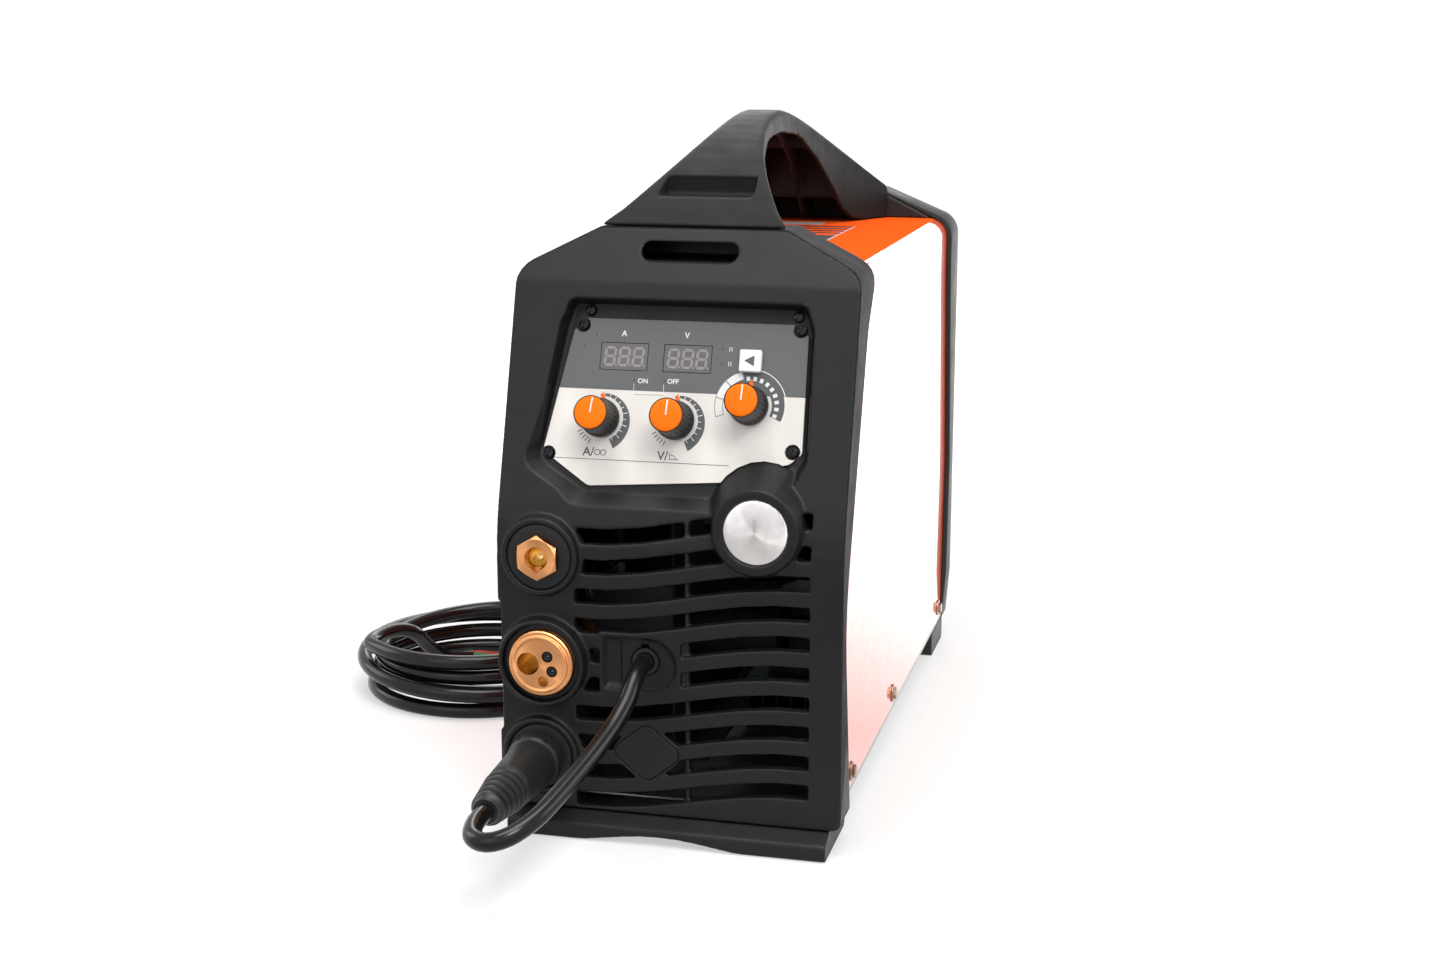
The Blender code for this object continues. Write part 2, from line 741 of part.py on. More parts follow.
    for x, y in DISPLAY_PLACES:
        wide, tall = (size / 2 + 0.001 for size in DISPLAY_SIZE)
        cut(bezel, put("display_window", box((x - wide, y - tall, -0.02), (x + wide, y + tall, 0.01)), panel))
    x, y = BUTTON_PLACE
    half = BUTTON_SIDE / 2 + 0.001
    cut(bezel, put("button_window", box((x - half, y - half, -0.02), (x + half, y + half, 0.01)), panel))
    for place in KNOB_PLACES.values():
        cut(bezel, put("pot_window", rod(POT_RADIUS + 0.001, -0.02, 0.01, place, 10), panel))
    for x, y in (*OVERLAY_SCREWS, *BEZEL_SCREWS.values()):
        cut(bezel, put("screw_hole", rod(SCREW_SHANK + SEAT_GAP, -0.02, 0.01, (x, y), 8), panel))
    cut(bezel, make_grille())
    return bezel


# Grille: wavy slots that stop short of the rings, the bosses and the blank cover

def slot_line(x):
    t = min(1.0, max(0.0, (SLOT_CREST - x) / (SLOT_CREST - SLOT_LOW)))
    return -SLOT_FALL * (3 * t**2 - 2 * t**3)


def make_grille():
    steps = 7
    xs = [SLOT_RIGHT + (SLOT_LEFT - SLOT_RIGHT) * n / steps for n in range(steps + 1)]
    mesh = bpy.data.meshes.new("grille")
    work = bmesh.new()
    for n in range(SLOT_COUNT):
        top = SLOT_TOP - n * SLOT_PITCH
        upper = [(x, top + slot_line(x)) for x in xs]
        lower = [(x, top - SLOT_HEIGHT + slot_line(x)) for x in reversed(xs)]
        work.from_mesh(prism(-0.03, 0.02, upper + lower))
    work.to_mesh(mesh)
    work.free()
    grille = put("grille_slots", mesh, front)
    reach = (-0.04, 0.03)
    rings = (
        (UPPER_SOCKET, SOCKET_RING),
        (LOWER_SOCKET, SOCKET_RING),
        (TORCH_SOCKET, TORCH_RING),
        (BADGE_PLACE, BADGE_BOSS),
    )
    for place, radius in rings:
        cut(grille, put("keep_ring", rod(radius + KEEP_OUT, *reach, place, 20), front))
    (left, low), (right, high) = LEAD_RECESS
    lead = box((left - KEEP_OUT, low - KEEP_OUT, reach[0]), (right + KEEP_OUT, high + KEEP_OUT, reach[1]))
    cut(grille, put("keep_lead", lead, front))
    cut(grille, put("keep_blank", prism(*reach, blank_outline(KEEP_OUT)), front))
    half = GRILLE_RIB_WIDTH / 2
    rib = box((GRILLE_RIB - half, 0, reach[0]), (GRILLE_RIB + half, 0.3, -GRILLE_RIB_BACK))
    cut(grille, put("keep_rib", rib, front))
    return grille


def blank_outline(grow):
    wide, tall = (size + grow for size in BLANK_HALF)
    x, z = BLANK_PLACE
    corners = ((wide, 0), (0, tall), (-wide, 0), (0, -tall))
    return rounded([(x + dx, z + dz, 0.006 + grow) for dx, dz in corners], 3)


# Control panel pieces, in the panel frame

def make_overlay():
    outline = [
        (-0.0622, 0.0558, 0.002),
        (0.0672, 0.0558, 0.002),
        (0.0755, 0.0488, 0.002),
        (0.0767, -0.0214, 0.004),
        (0.0697, -0.0275, 0.002),
        (0.0292, -0.0405, 0.002),
        (-0.0531, -0.0465, 0.006),
        (-0.0832, -0.0265, 0.003),
        (-0.0699, 0.0482, 0.002),
    ]
    sheet = prism(SEAT_GAP, SEAT_GAP + OVERLAY_THICK, rounded(outline, 3))
    overlay = put("control_overlay", sheet, panel, SILVER)
    for x, y in OVERLAY_SCREWS:
        cut(overlay, put("screw_notch", rod(OVERLAY_NOTCH, -0.01, 0.01, (x, y), 12), panel))
    cut(overlay, badge_cone("badge_clearance", 0.0008))
    for x, y in DISPLAY_PLACES:
        wide, tall = (size / 2 + SEAT_GAP for size in DISPLAY_SIZE)
        cut(overlay, put("window", box((x - wide, y - tall, -0.01), (x + wide, y + tall, 0.01)), panel))
    x, y = BUTTON_PLACE
    half = BUTTON_SIDE / 2 + SEAT_GAP
    cut(overlay, put("button_hole", box((x - half, y - half, -0.01), (x + half, y + half, 0.01)), panel))
    for place in KNOB_PLACES.values():
        cut(overlay, put("shaft_hole", rod(SHAFT_RADIUS + SEAT_GAP, -0.01, 0.01, place, 12), panel))


def make_control_board():
    face = -0.0119
    plate = box((-0.058, -0.030, face - BOARD), (0.062, 0.043, face))
    board = put("control_board", plate, panel, BOARD_GREEN)
    for x, y in KNOB_PLACES.values():
        join(board, put("pot", rod(POT_RADIUS, face - 0.0005, 0, (x, y), 12), panel))
        join(board, put("pot_shaft", rod(SHAFT_RADIUS, -0.001, SHAFT_LENGTH, (x, y), 12), panel))
    for x, y in DISPLAY_PLACES:
        wide, tall = (size / 2 for size in DISPLAY_SIZE)
        top = SEAT_GAP + OVERLAY_THICK - 0.0005
        block = box((x - wide, y - tall, face - 0.0005), (x + wide, y + tall, top))
        join(board, put("display", block, panel))
    x, y = BUTTON_PLACE
    key_switch = box((x - 0.003, y - 0.003, face - 0.0005), (x + 0.003, y + 0.003, -0.005))
    join(board, put("key_switch", key_switch, panel))


def make_knobs():
    base = SEAT_GAP + OVERLAY_THICK + KNOB_LIFT
    for name, (x, y) in KNOB_PLACES.items():
        top = KNOB_HEIGHT
        rim = KNOB_CAP_RADIUS + SEAT_GAP
        bore = SHAFT_RADIUS + SEAT_GAP
        bore_depth = SHAFT_LENGTH - base + SEAT_GAP
        body = [
            (0, top - KNOB_CAP_THICK - SEAT_GAP),
            (rim, top - KNOB_CAP_THICK - SEAT_GAP),
            (rim, top),
            (KNOB_RADIUS - 0.0004, top),
            (KNOB_RADIUS - 0.0002, 0.006),
            (KNOB_RADIUS + 0.0012, 0.004),
            (KNOB_RADIUS + 0.0012, 0),
            (bore, 0),
            (bore, bore_depth),
            (0, bore_depth),
        ]
        put(f"{name}_knob", lathe(body, 20), panel, BLACK, (x, y, base))
        cap = [
            (0, top + 0.0006),
            (KNOB_CAP_RADIUS - 0.0012, top + 0.0006),
            (KNOB_CAP_RADIUS, top - 0.0002),
            (KNOB_CAP_RADIUS, top - KNOB_CAP_THICK),
            (0, top - KNOB_CAP_THICK),
        ]
        put(f"{name}_knob_cap", lathe(cap, 20), panel, CAP_ORANGE, (x, y, base))


def make_button():
    half = BUTTON_SIDE / 2
    low = SEAT_GAP - 0.002
    high = SEAT_GAP + OVERLAY_THICK + BUTTON_HEIGHT
    block = box((-half, -half, low), (half, half, high))
    button = put("mode_button", block, panel, WHITE, (*BUTTON_PLACE, 0))
    edges = button.modifiers.new("edges", "BEVEL")
    edges.width = 0.0008
    edges.segments = 2


def make_screw(name, frame, place, head, height, length, washer=None):
    profile = [
        (0, height),
        (head * 0.75, height),
        (head, height * 0.55),
        (head, 0),
        (SCREW_SHANK, 0),
        (SCREW_SHANK, -length),
        (0, -length),
    ]
    if washer:
        thick = 0.0008
        profile[3:4] = [(head, thick), (washer, thick), (washer, 0)]
    put(name, lathe(profile, 10), frame, STEEL, place)


def make_panel_screws():
    length = 0.006
    for n, (x, y) in enumerate(OVERLAY_SCREWS, 1):
        place = (x, y, SEAT_GAP)
        make_screw(f"overlay_screw_{n}", panel, place, OVERLAY_SCREW_HEAD, SCREW_HEAD_HEIGHT, length)
    for name, (x, y) in BEZEL_SCREWS.items():
        place = (x, y, SEAT_GAP)
        make_screw(f"bezel_screw_{name}", panel, place, BEZEL_SCREW_HEAD, SCREW_HEAD_HEIGHT, length)


def make_badge():
    seat = BADGE_PROUD - BADGE_THICK + SEAT_GAP
    profile = [
        (0, BADGE_PROUD + 0.0012),
        (BADGE_RADIUS * 0.6, BADGE_PROUD + 0.0009),
        (BADGE_RADIUS, BADGE_PROUD - 0.0002),
        (BADGE_RADIUS, seat),
        (0, seat),
    ]
    put("badge_disc", lathe(profile, 28), front, SILVER, (*BADGE_PLACE, 0))


# Sockets, in the front frame

def make_output_socket(name, place):
    back_face = SOCKET_RING_PROUD - SOCKET_SEAT_DEPTH + SEAT_GAP
    face = back_face + SOCKET_FLANGE
    flange = SOCKET_SEAT - SEAT_GAP
    bore = CONTACT_RADIUS + SEAT_GAP
    ring = [
        (bore, face),
        (flange, face),
        (flange, back_face),
        (SOCKET_SPIGOT, back_face),
        (SOCKET_SPIGOT, -SOCKET_SPIGOT_DEPTH),
        (bore, -SOCKET_SPIGOT_DEPTH),
    ]
    put(f"{name}_socket_ring", lathe(ring, 24), front, BLACK, (*place, 0))
    hex_low = face + SEAT_GAP
    hex_high = hex_low + CONTACT_HEX_THICK
    contact = put(f"{name}_socket_contact", rod(CONTACT_HEX, hex_low, hex_high, place, 6), front, BRASS)
    join(contact, put("contact_body", rod(CONTACT_RADIUS, -CONTACT_DEPTH, hex_low + 0.001, place, 20), front))
    bore_low = hex_high - CONTACT_BORE_DEPTH
    cut(contact, put("contact_bore", rod(CONTACT_BORE, bore_low, hex_high + 0.01, place, 20), front))
    return hex_high


def make_torch_socket():
    seat = TORCH_RING_PROUD - TORCH_SEAT_DEPTH + SEAT_GAP
    outer = TORCH_SEAT - SEAT_GAP
    inner = TORCH_BODY + SEAT_GAP
    face = seat + TORCH_INSULATOR
    ring = [(inner, face), (outer, face), (outer, seat), (inner, seat)]
    put("torch_socket_ring", lathe(ring, 28), front, BLACK, (*TORCH_SOCKET, 0))
    low, high = -TORCH_BODY_DEPTH, TORCH_BODY_PROUD
    body = put("torch_socket_body", rod(TORCH_BODY, low, high, TORCH_SOCKET, 28), front, BRASS)
    x, z = TORCH_SOCKET
    bore = rod(TORCH_BORE, high - TORCH_BORE_DEPTH, high + 0.01, (x + TORCH_BORE_OFFSET, z), 24)
    cut(body, put("torch_bore", bore, front))
    gas = (x + TORCH_GAS[0], z + TORCH_GAS[1])
    cut(body, put("torch_gas", rod(TORCH_GAS_RADIUS, high - 0.012, high + 0.01, gas, 16), front))
    ends = [(x + dx, z + dz) for dx, dz in TORCH_PINS]
    for place in ends:
        pin_hole = rod(TORCH_PIN_RADIUS + SEAT_GAP, low - 0.01, high + 0.01, place, 16)
        cut(body, put("pin_hole", pin_hole, front))

    # The two signal pins run through the body into one carrier behind it
    carrier_high = low - SEAT_GAP
    margin = TORCH_PIN_RADIUS + 0.002
    xs = [place[0] for place in ends]
    zs = [place[1] for place in ends]
    carrier = box(
        (min(xs) - margin, min(zs) - margin, carrier_high - 0.005),
        (max(xs) + margin, max(zs) + margin, carrier_high),
    )
    pins = put("torch_socket_pins", carrier, front, BLACK)
    for place in ends:
        pin = rod(TORCH_PIN_RADIUS, carrier_high - 0.001, high - 0.001, place, 16)
        join(pins, put("pin", pin, front))


def make_lead_grommet():
    socket = CORD_RADIUS + SEAT_GAP
    face = -LEAD_RECESS_DEPTH
    profile = [
        (socket, face),
        (GROMMET_RADIUS, face),
        (GROMMET_RADIUS, face - GROMMET_LENGTH),
        (0, face - GROMMET_LENGTH),
        (0, face - 0.003),
        (socket, face - 0.003),
    ]
    solid = [profile[3], profile[2], profile[1], profile[0], profile[5], profile[4]]
    put("lead_grommet", lathe(list(reversed(solid)), 16), front, RUBBER, (*LEAD_HOLE, 0))


def make_blank_cover():
    blank = put("blank_cover", prism(SEAT_GAP - BLANK_THICK, 0, blank_outline(0)), front, CHARCOAL)
    plug = rod(BLANK_PLUG, -GRILLE_DEPTH - 0.002, 0.001 - BLANK_THICK, BLANK_PLACE, 20)
    join(blank, put("blank_plug", plug, front))


def make_plug(socket_face):
    start = socket_face + SEAT_GAP
    end = start + PLUG_LENGTH
    hole = PLUG_PIN + SEAT_GAP
    hole_depth = 0.018
    profile = [(0, end), (0.0078, end), (0.0092, end - 0.002)]
    ribs = 4
    rib_start, rib_end = end - 0.034, end - 0.003
    for n in range(ribs):
        high = rib_end + (rib_start - rib_end) * n / ribs
        low = rib_end + (rib_start - rib_end) * (n + 1) / ribs
        radius = 0.0100 + 0.0030 * n / (ribs - 1)
        profile += [(radius, high - 0.0005), (radius + 0.0004, low + 0.0022), (radius - 0.0010, low + 0.0008)]
    profile += [
        (0.0140, rib_start - 0.003),
        (PLUG_RADIUS - 0.0012, start + 0.011),
        (PLUG_RADIUS, start + 0.010),
        (PLUG_RADIUS, start),
        (hole, start),
        (hole, start + hole_depth),
        (0, start + hole_depth),
    ]
    put("polarity_plug_boot", lathe(profile, 14), front, RUBBER, (*LOWER_SOCKET, 0))
    pin = rod(PLUG_PIN, start - CONTACT_BORE_DEPTH + 0.004, start + hole_depth - SEAT_GAP, LOWER_SOCKET, 20)
    put("polarity_plug_pin", pin, front, BRASS)


# Handle: a hollow arch from the bezel crown to the roof behind

def handle_half(t):
    # t runs from 0 at a foot to 1 at the middle of the grip
    return HANDLE_GRIP_HALF + (HANDLE_FOOT_HALF - HANDLE_GRIP_HALF) * (1 - t) ** 2.3


def handle_top(t, foot):
    return foot + (HANDLE_TOP - foot) * (1 - (1 - t) ** 1.75)


def handle_under(t, foot):
    arch = HANDLE_TOP - HANDLE_GRIP_DEPTH
    for (t0, rise0), (t1, rise1) in zip(HANDLE_ARCH, HANDLE_ARCH[1:]):
        if t <= t1:
            share = rise0 + (rise1 - rise0) * max(0.0, t - t0) / (t1 - t0)
            return foot + (arch - foot) * share
    return arch


def handle_section(y, inset):
    middle = (HANDLE_FRONT + HANDLE_REAR) / 2
    half_span = (HANDLE_REAR - HANDLE_FRONT) / 2
    t = 1 - abs(y - middle) / half_span
    ahead = y < middle
    seat = BEZEL_TOP + SEAT_GAP if ahead else COVER_ROOF + SEAT_GAP
    edge = 0.0020
    top = handle_top(t, BEZEL_TOP + SEAT_GAP + edge) - inset
    under = handle_under(t, seat)
    half = handle_half(t) - inset
    corner = min(HANDLE_EDGE, (top - under) * 0.45)
    if inset:
        under -= 0.02
    chamfer = corner * 0.3
    flat = [(half, under), (half, top - corner), (half - chamfer, top - chamfer), (half - corner, top)]
    return [(x, y, z) for x, z in flat + [(-x, z) for x, z in reversed(flat)]]


def make_handle():
    count = 26
    span = HANDLE_REAR - HANDLE_FRONT
    ys = [HANDLE_FRONT + span * n / count for n in range(count + 1)]
    handle = put("handle", loft([handle_section(y, 0) for y in ys]), None, CHARCOAL)
    hollow_ys = [y for y in ys if HANDLE_FRONT + 0.055 < y < HANDLE_REAR - 0.012]
    hollow = put("handle_hollow", loft([handle_section(y, HANDLE_WALL) for y in hollow_ys]))
    start, end = hollow_ys[0], hollow_ys[-1]
    for n in range(1, HANDLE_RIBS + 1):
        y = start + (end - start) * n / (HANDLE_RIBS + 1)
        rib = box((-0.1, y - 0.0011, 0.3), (0.1, y + 0.0011, 0.5))
        cut(hollow, put("handle_rib", rib))
    spine = box((-0.0011, start - 0.01, 0.3), (0.0011, end + 0.01, 0.5))
    cut(hollow, put("handle_spine", spine))
    cut(handle, hollow)
    half, low, high = HANDLE_POCKET
    corner = 0.002
    narrow = half * 0.93
    corners = [(-half, low, corner), (half, low, corner), (narrow, high, corner), (-narrow, high, corner)]
    deep = CASE_FRONT - HANDLE_POCKET_BACK
    cut(handle, put("handle_pocket", prism(deep, 0.02, rounded(corners, 2)), front))


# Sheet cover, door and base

def make_cover():
    outer = cover_outline(0, COVER_BOTTOM)
    inner = cover_outline(-SHEET, COVER_BOTTOM)
    shell = prism(CASE_FRONT - COVER_REAR, 0.03, outer + list(reversed(inner)))
    cover = put("top_cover", shell, front, ORANGE)
    behind = rounded([*bezel_seam(-COVER_LAP)], 3)
    front_cut = [(-0.4, -0.05), (-0.4, 0.45), (behind[0][0], 0.45), *behind, (behind[-1][0], -0.05)]
    cut(cover, put("cover_front", prism(-CUT_REACH, CUT_REACH, front_cut), side))
    opening = box(
        (-CUT_REACH, DOOR_FRONT, DOOR_LOW),
        (-COVER_HALF + 0.0135, DOOR_BACK, HINGE_Z + HINGE_BARREL + 0.0015),
    )
    cut(cover, put("door_opening", opening))
    for start, end in (HINGE_SPLITS[:2], HINGE_SPLITS[2:]):
        join(cover, hinge_barrel(start + SEAT_GAP, end - SEAT_GAP))
        web = box(
            (-COVER_HALF, start + SEAT_GAP, HINGE_Z),
            (-COVER_HALF + SHEET, end - SEAT_GAP, HINGE_Z + HINGE_BARREL + 0.003),
        )
        join(cover, put("knuckle_web", web))
        cut(cover, pin_hole(start - 0.01, end + 0.01))
    for y in COVER_SCREWS.values():
        hole = rod(SCREW_SHANK + SEAT_GAP, COVER_HALF - 0.01, COVER_HALF + 0.01, (y, COVER_SCREW_Z), 10)
        cut(cover, put("cover_screw_hole", hole, side))


def hinge_x():
    return -COVER_HALF + SHEET


def hinge_barrel(low, high):
    return put("barrel", rod(HINGE_BARREL, -high, -low, (hinge_x(), HINGE_Z), 12), front_origin)


def pin_hole(low, high):
    return put("pin_hole", rod(HINGE_PIN + SEAT_GAP, -high, -low, (hinge_x(), HINGE_Z), 8), front_origin)


front_origin = turned_empty("front_origin", (0, 0, 0), (pi / 2, 0, 0))


def make_door():
    x, z = hinge_x(), HINGE_Z
    low = (-COVER_HALF - x, DOOR_FRONT + DOOR_GAP, DOOR_LOW + DOOR_GAP - z)
    high = (0, DOOR_BACK - DOOR_GAP, DOOR_TOP - DOOR_GAP - z)
    door = put("side_door", box(low, high), None, ORANGE, (x, 0, z))
    ends = [low[1], *HINGE_SPLITS, high[1]]
    for start, end in zip(ends[::2], ends[1::2]):
        join(door, hinge_barrel(start, end))
        web = box((-COVER_HALF, start, DOOR_TOP - 0.004), (x, end, z))
        join(door, put("leaf_web", web))
    cut(door, pin_hole(low[1] - 0.01, high[1] + 0.01))
    cut(door, put("latch_hole", rod(LATCH_SHANK + SEAT_GAP, -0.12, -0.09, LATCH_PLACE, 20), side))
    pin = rod(HINGE_PIN, -high[1], -low[1], sides=8)
    put("hinge_pin", pin, front_origin, STEEL, (x, z, 0))


def make_latch():
    outside = -COVER_HALF - SEAT_GAP
    inside = -COVER_HALF + SHEET + SEAT_GAP
    head = rod(LATCH_HEAD, outside - LATCH_HEAD_THICK, outside, sides=20)
    latch = put("door_latch", head, side, BLACK, (*LATCH_PLACE, 0))
    y, z = LATCH_PLACE
    join(latch, put("latch_shank", rod(LATCH_SHANK, outside - 0.001, inside + 0.004, LATCH_PLACE, 20), side))
    tongue = box((inside, y - 0.005, z - 0.005), (inside + 0.003, y + LATCH_TONGUE, z + 0.005))
    join(latch, put("latch_tongue", tongue))
    groove = box(
        (outside - LATCH_HEAD_THICK - 0.01, y - 0.007, z - 0.001),
        (outside - 0.0018, y + 0.007, z + 0.001),
    )
    cut(latch, put("latch_groove", groove))


def tray_bottom():
    return BEZEL_BOTTOM + BEZEL_WALL + SEAT_GAP


def tray_top():
    return tray_bottom() + SHEET


def make_base():
    half = COVER_HALF - SHEET - SEAT_GAP
    low, top = tray_bottom(), tray_bottom() + TRAY_FLANGE
    section = [
        (-half, top),
        (-half, low),
        (half, low),
        (half, top),
        (half - SHEET, top),
        (half - SHEET, low + SHEET),
        (-half + SHEET, low + SHEET),
        (-half + SHEET, top),
    ]
    tray = put("base_tray", prism(CASE_FRONT - TRAY_REAR, CASE_FRONT - TRAY_FRONT, section), front, STEEL)
    for y in COVER_SCREWS.values():
        hole = rod(SCREW_SHANK + SEAT_GAP, COVER_HALF - 0.01, COVER_HALF + 0.01, (y, COVER_SCREW_Z), 10)
        cut(tray, put("tray_screw_hole", hole, side))

    top = BEZEL_BOTTOM - SEAT_GAP
    profile = [
        (FOOT_FRONT, 0, 0.002),
        (FOOT_BACK, 0, 0.002),
        (FOOT_BACK, top, 0.001),
        (CASE_FRONT + 0.002, top, 0.001),
        (FOOT_FRONT + 0.001, top - 0.006, 0.002),
    ]
    foot = put("front_foot", prism(-FOOT_HALF, FOOT_HALF, rounded(profile, 2)), side, CHARCOAL)
    # A shallow scallop in the front lower edge, running out to nothing further back
    low, high = FOOT_SCALLOP
    arch = [(high, -0.02), (low, -0.02)]
    for n in range(11):
        share = n / 10
        arch.append((low + (high - low) * share, FOOT_SCALLOP_HEIGHT * sin(pi * share) ** 1.5))
    slope = -FOOT_SCALLOP_HEIGHT / FOOT_SCALLOP_RUN
    scallop = prism(-0.06, 0.01, arch)
    cut(foot, put("foot_scallop", scallop, front, at=(0, 0, CASE_FRONT - FOOT_FRONT), turn=(slope, 0, 0)))

    top = tray_bottom() - SEAT_GAP
    profile = [
        (REAR_FOOT_FRONT, 0, 0.002),
        (REAR_FOOT_BACK, 0, 0.002),
        (REAR_FOOT_BACK, top, 0.001),
        (REAR_FOOT_FRONT, top, 0.001),
    ]
    put("rear_foot", prism(-REAR_FOOT_HALF, REAR_FOOT_HALF, rounded(profile, 2)), side, BLACK)


def make_cover_screws():
    for name, y in COVER_SCREWS.items():
        place = (y, COVER_SCREW_Z, COVER_HALF + SEAT_GAP)
        make_screw(f"cover_screw_{name}", side, place, COVER_SCREW_HEAD, 0.0030, 0.007, COVER_SCREW_WASHER)


# Rear panel and what it carries, in the back frame

def make_rear_panel():
    bottom = tray_top() + SEAT_GAP
    outline = crown_outline(REAR_HALF, bottom, REAR_TOP, REAR_CROWN_HALF, 0.003)
    rear = put("rear_panel", prism(-0.09, 0.02, outline), back, BLACK)
    profile = [*rear_seam(0), (CASE_REAR, REAR_TOP + 0.01, 0), (CASE_REAR, 0, 0)]
    keep(rear, put("rear_profile", prism(-CUT_REACH, CUT_REACH, rounded(profile, 3)), side))
    edges = rear.modifiers.new("edges", "BEVEL")
    edges.width = 0.002
    edges.segments = 2
    edges.limit_method = "ANGLE"
    edges.angle_limit = radians(50)
    cut(rear, put("rear_inside", prism(-0.2, -REAR_WALL, cover_outline(SEAT_GAP, -0.02)), back))

    x, z = FAN_PLACE
    cut(rear, put("fan_hole", rod(FAN_HOLE, -0.02, 0.02, (-x, z), 28), back))
    low = -REAR_WALL
    for radius in GUARD_RINGS:
        half = GUARD_WIRE / 2
        ring = [(radius - half, 0), (radius + half, 0), (radius + half, low), (radius - half, low)]
        join(rear, put("guard_ring", lathe(ring, 16), back, at=(-x, z, -0.0002)))
    for n in range(4):
        angle = pi / 4 + n * pi / 2
        reach = FAN_HOLE + 0.002
        spoke = box((0.008, -GUARD_WIRE / 2, low + 0.0006), (reach, GUARD_WIRE / 2, -0.0006))
        join(rear, put("guard_spoke", spoke, back, at=(-x, z, 0), turn=(0, 0, angle)))
    join(rear, put("guard_boss", rod(0.012, low - 0.001, -0.0004, (-x, z), 24), back))
    cut(rear, put("fan_pin_hole", rod(FAN_PIN + SEAT_GAP, low - 0.01, low + 0.0025, (-x, z), 16), back))

    x, z = SWITCH_PLACE
    wide, tall = SWITCH_HALF
    cut(rear, put("switch_hole", box((-x - wide, z - tall, -0.02), (-x + wide, z + tall, 0.02)), back))
    for (x, z), radius in ((GAS_PLACE, 0.0055), (GLAND_PLACE, 0.0085)):
        cut(rear, put("fitting_hole", rod(radius + SEAT_GAP, -0.02, 0.02, (-x, z), 20), back))


def make_fan():
    x, z = FAN_PLACE
    gap = REAR_WALL + 0.001 + SEAT_GAP
    high = -gap - 0.0005
    low = high - FAN_DEPTH
    rotor = put("fan_rotor", rod(FAN_HUB, low, high, sides=16), back, BLACK, (-x, z, 0))
    join(rotor, put("fan_pin", rod(FAN_PIN, high - 0.002, -REAR_WALL + 0.002, (-x, z), 16), back))
    for n in range(FAN_BLADES):
        angle = 2 * pi * n / FAN_BLADES
        blade = box((FAN_HUB - 0.002, -0.012, -0.0009), (FAN_RADIUS, 0.012, 0.0009))
        blade.transform(Matrix.Rotation(FAN_PITCH, 4, "X"))
        middle = (low + high) / 2
        join(rotor, put("fan_blade", blade, back, at=(-x, z, middle), turn=(0, 0, angle)))


def make_rear_fittings():
    x, z = SWITCH_PLACE
    wide, tall = ROCKER_HALF
    raised = 0.0015 + 2 * ROCKER_TILT
    outline = [(-tall, -0.006), (tall, -0.006), (tall, 0.0015), (0, 0.0032), (-tall, raised)]
    rocker = prism(-wide, wide, outline)
    rocker.transform(Matrix(((0, 0, 1, 0), (1, 0, 0, 0), (0, 1, 0, 0), (0, 0, 0, 1))))
    put("switch_rocker", rocker, back, BLACK, (-x, z, 0))

    x, z = GAS_PLACE
    end = GAS_END - CASE_REAR
    barb = [
        (0, end),
        (0.0036, end),
        (0.0046, end - 0.003),
        (0.0036, end - 0.0035),
        (0.0036, 0.0055),
        (0.0085, 0.0055),
        (0.0085, SEAT_GAP),
        (0.0055, SEAT_GAP),
        (0.0055, -0.014),
        (0, -0.014),
    ]
    put("gas_inlet", lathe(barb, 14), back, BRASS, (-x, z, 0))

    x, z = GLAND_PLACE
    nut = GLAND_NUT_LENGTH
    end = nut + GLAND_TAPER
    gland = [
        (0, end),
        (CORD_RADIUS + 0.0012, end),
        (0.0095, nut + 0.002),
        (GLAND_NUT, nut),
        (GLAND_NUT, SEAT_GAP),
        (0.0085, SEAT_GAP),
        (0.0085, -0.014),
        (0, -0.014),
    ]
    put("mains_gland", lathe(gland, 16), back, RUBBER, (-x, z, 0))


# Wire bay, in the side frame

def wire_height():
    return TORCH_SOCKET[1]


def wire_x():
    return TORCH_SOCKET[0] + TORCH_BORE_OFFSET


def drive_z():
    return wire_height() - ROLL_RADIUS - WIRE_ROOM / 2


def pressure_z():
    return wire_height() + ROLL_RADIUS + WIRE_ROOM / 2


def make_partition():
    low = tray_top() + SEAT_GAP
    left, right = PARTITION_X - SHEET / 2, PARTITION_X + SHEET / 2
    section = [
        (left, low),
        (left + PARTITION_FOOT, low),
        (left + PARTITION_FOOT, low + SHEET),
        (right, low + SHEET),
        (right, PARTITION_TOP),
        (left, PARTITION_TOP),
    ]
    wall = prism(CASE_FRONT - PARTITION_REAR, CASE_FRONT - PARTITION_FRONT, section)
    partition = put("partition", wall, front, STEEL)
    cut(partition, put("shaft_pass", rod(ROLL_SHAFT + 0.001, -0.05, 0.01, (ROLL_Y, drive_z()), 20), side))
    axle = rod(HUB_AXLE, left - HUB_LENGTH, right, HUB_PLACE, 24)
    join(partition, put("hub_axle", axle, side))


def make_feed_block():
    right = PARTITION_X - SHEET / 2 - SEAT_GAP
    y, z = ARM_PIVOT
    outline = [
        (BLOCK_FRONT, BLOCK_LOW),
        (BLOCK_BACK, BLOCK_LOW),
        (BLOCK_BACK, BLOCK_TOP),
        (y + 0.0075, BLOCK_TOP),
        (y + 0.0075, z + 0.0075),
        (BLOCK_FRONT, z + 0.0075),
    ]
    block = put("feed_block", prism(BLOCK_LEFT, right, outline), side, ALUMINIUM)
    arm_outer = BLOCK_LEFT - SEAT_GAP - ARM_THICK
    join(block, put("pivot_pin", rod(ROLL_SHAFT, arm_outer - 0.002, BLOCK_LEFT + 0.002, ARM_PIVOT, 20), side))
    shaft_hole = rod(ROLL_SHAFT + SEAT_GAP, -0.12, 0.02, (ROLL_Y, drive_z()), 20)
    cut(block, put("shaft_hole", shaft_hole, side))


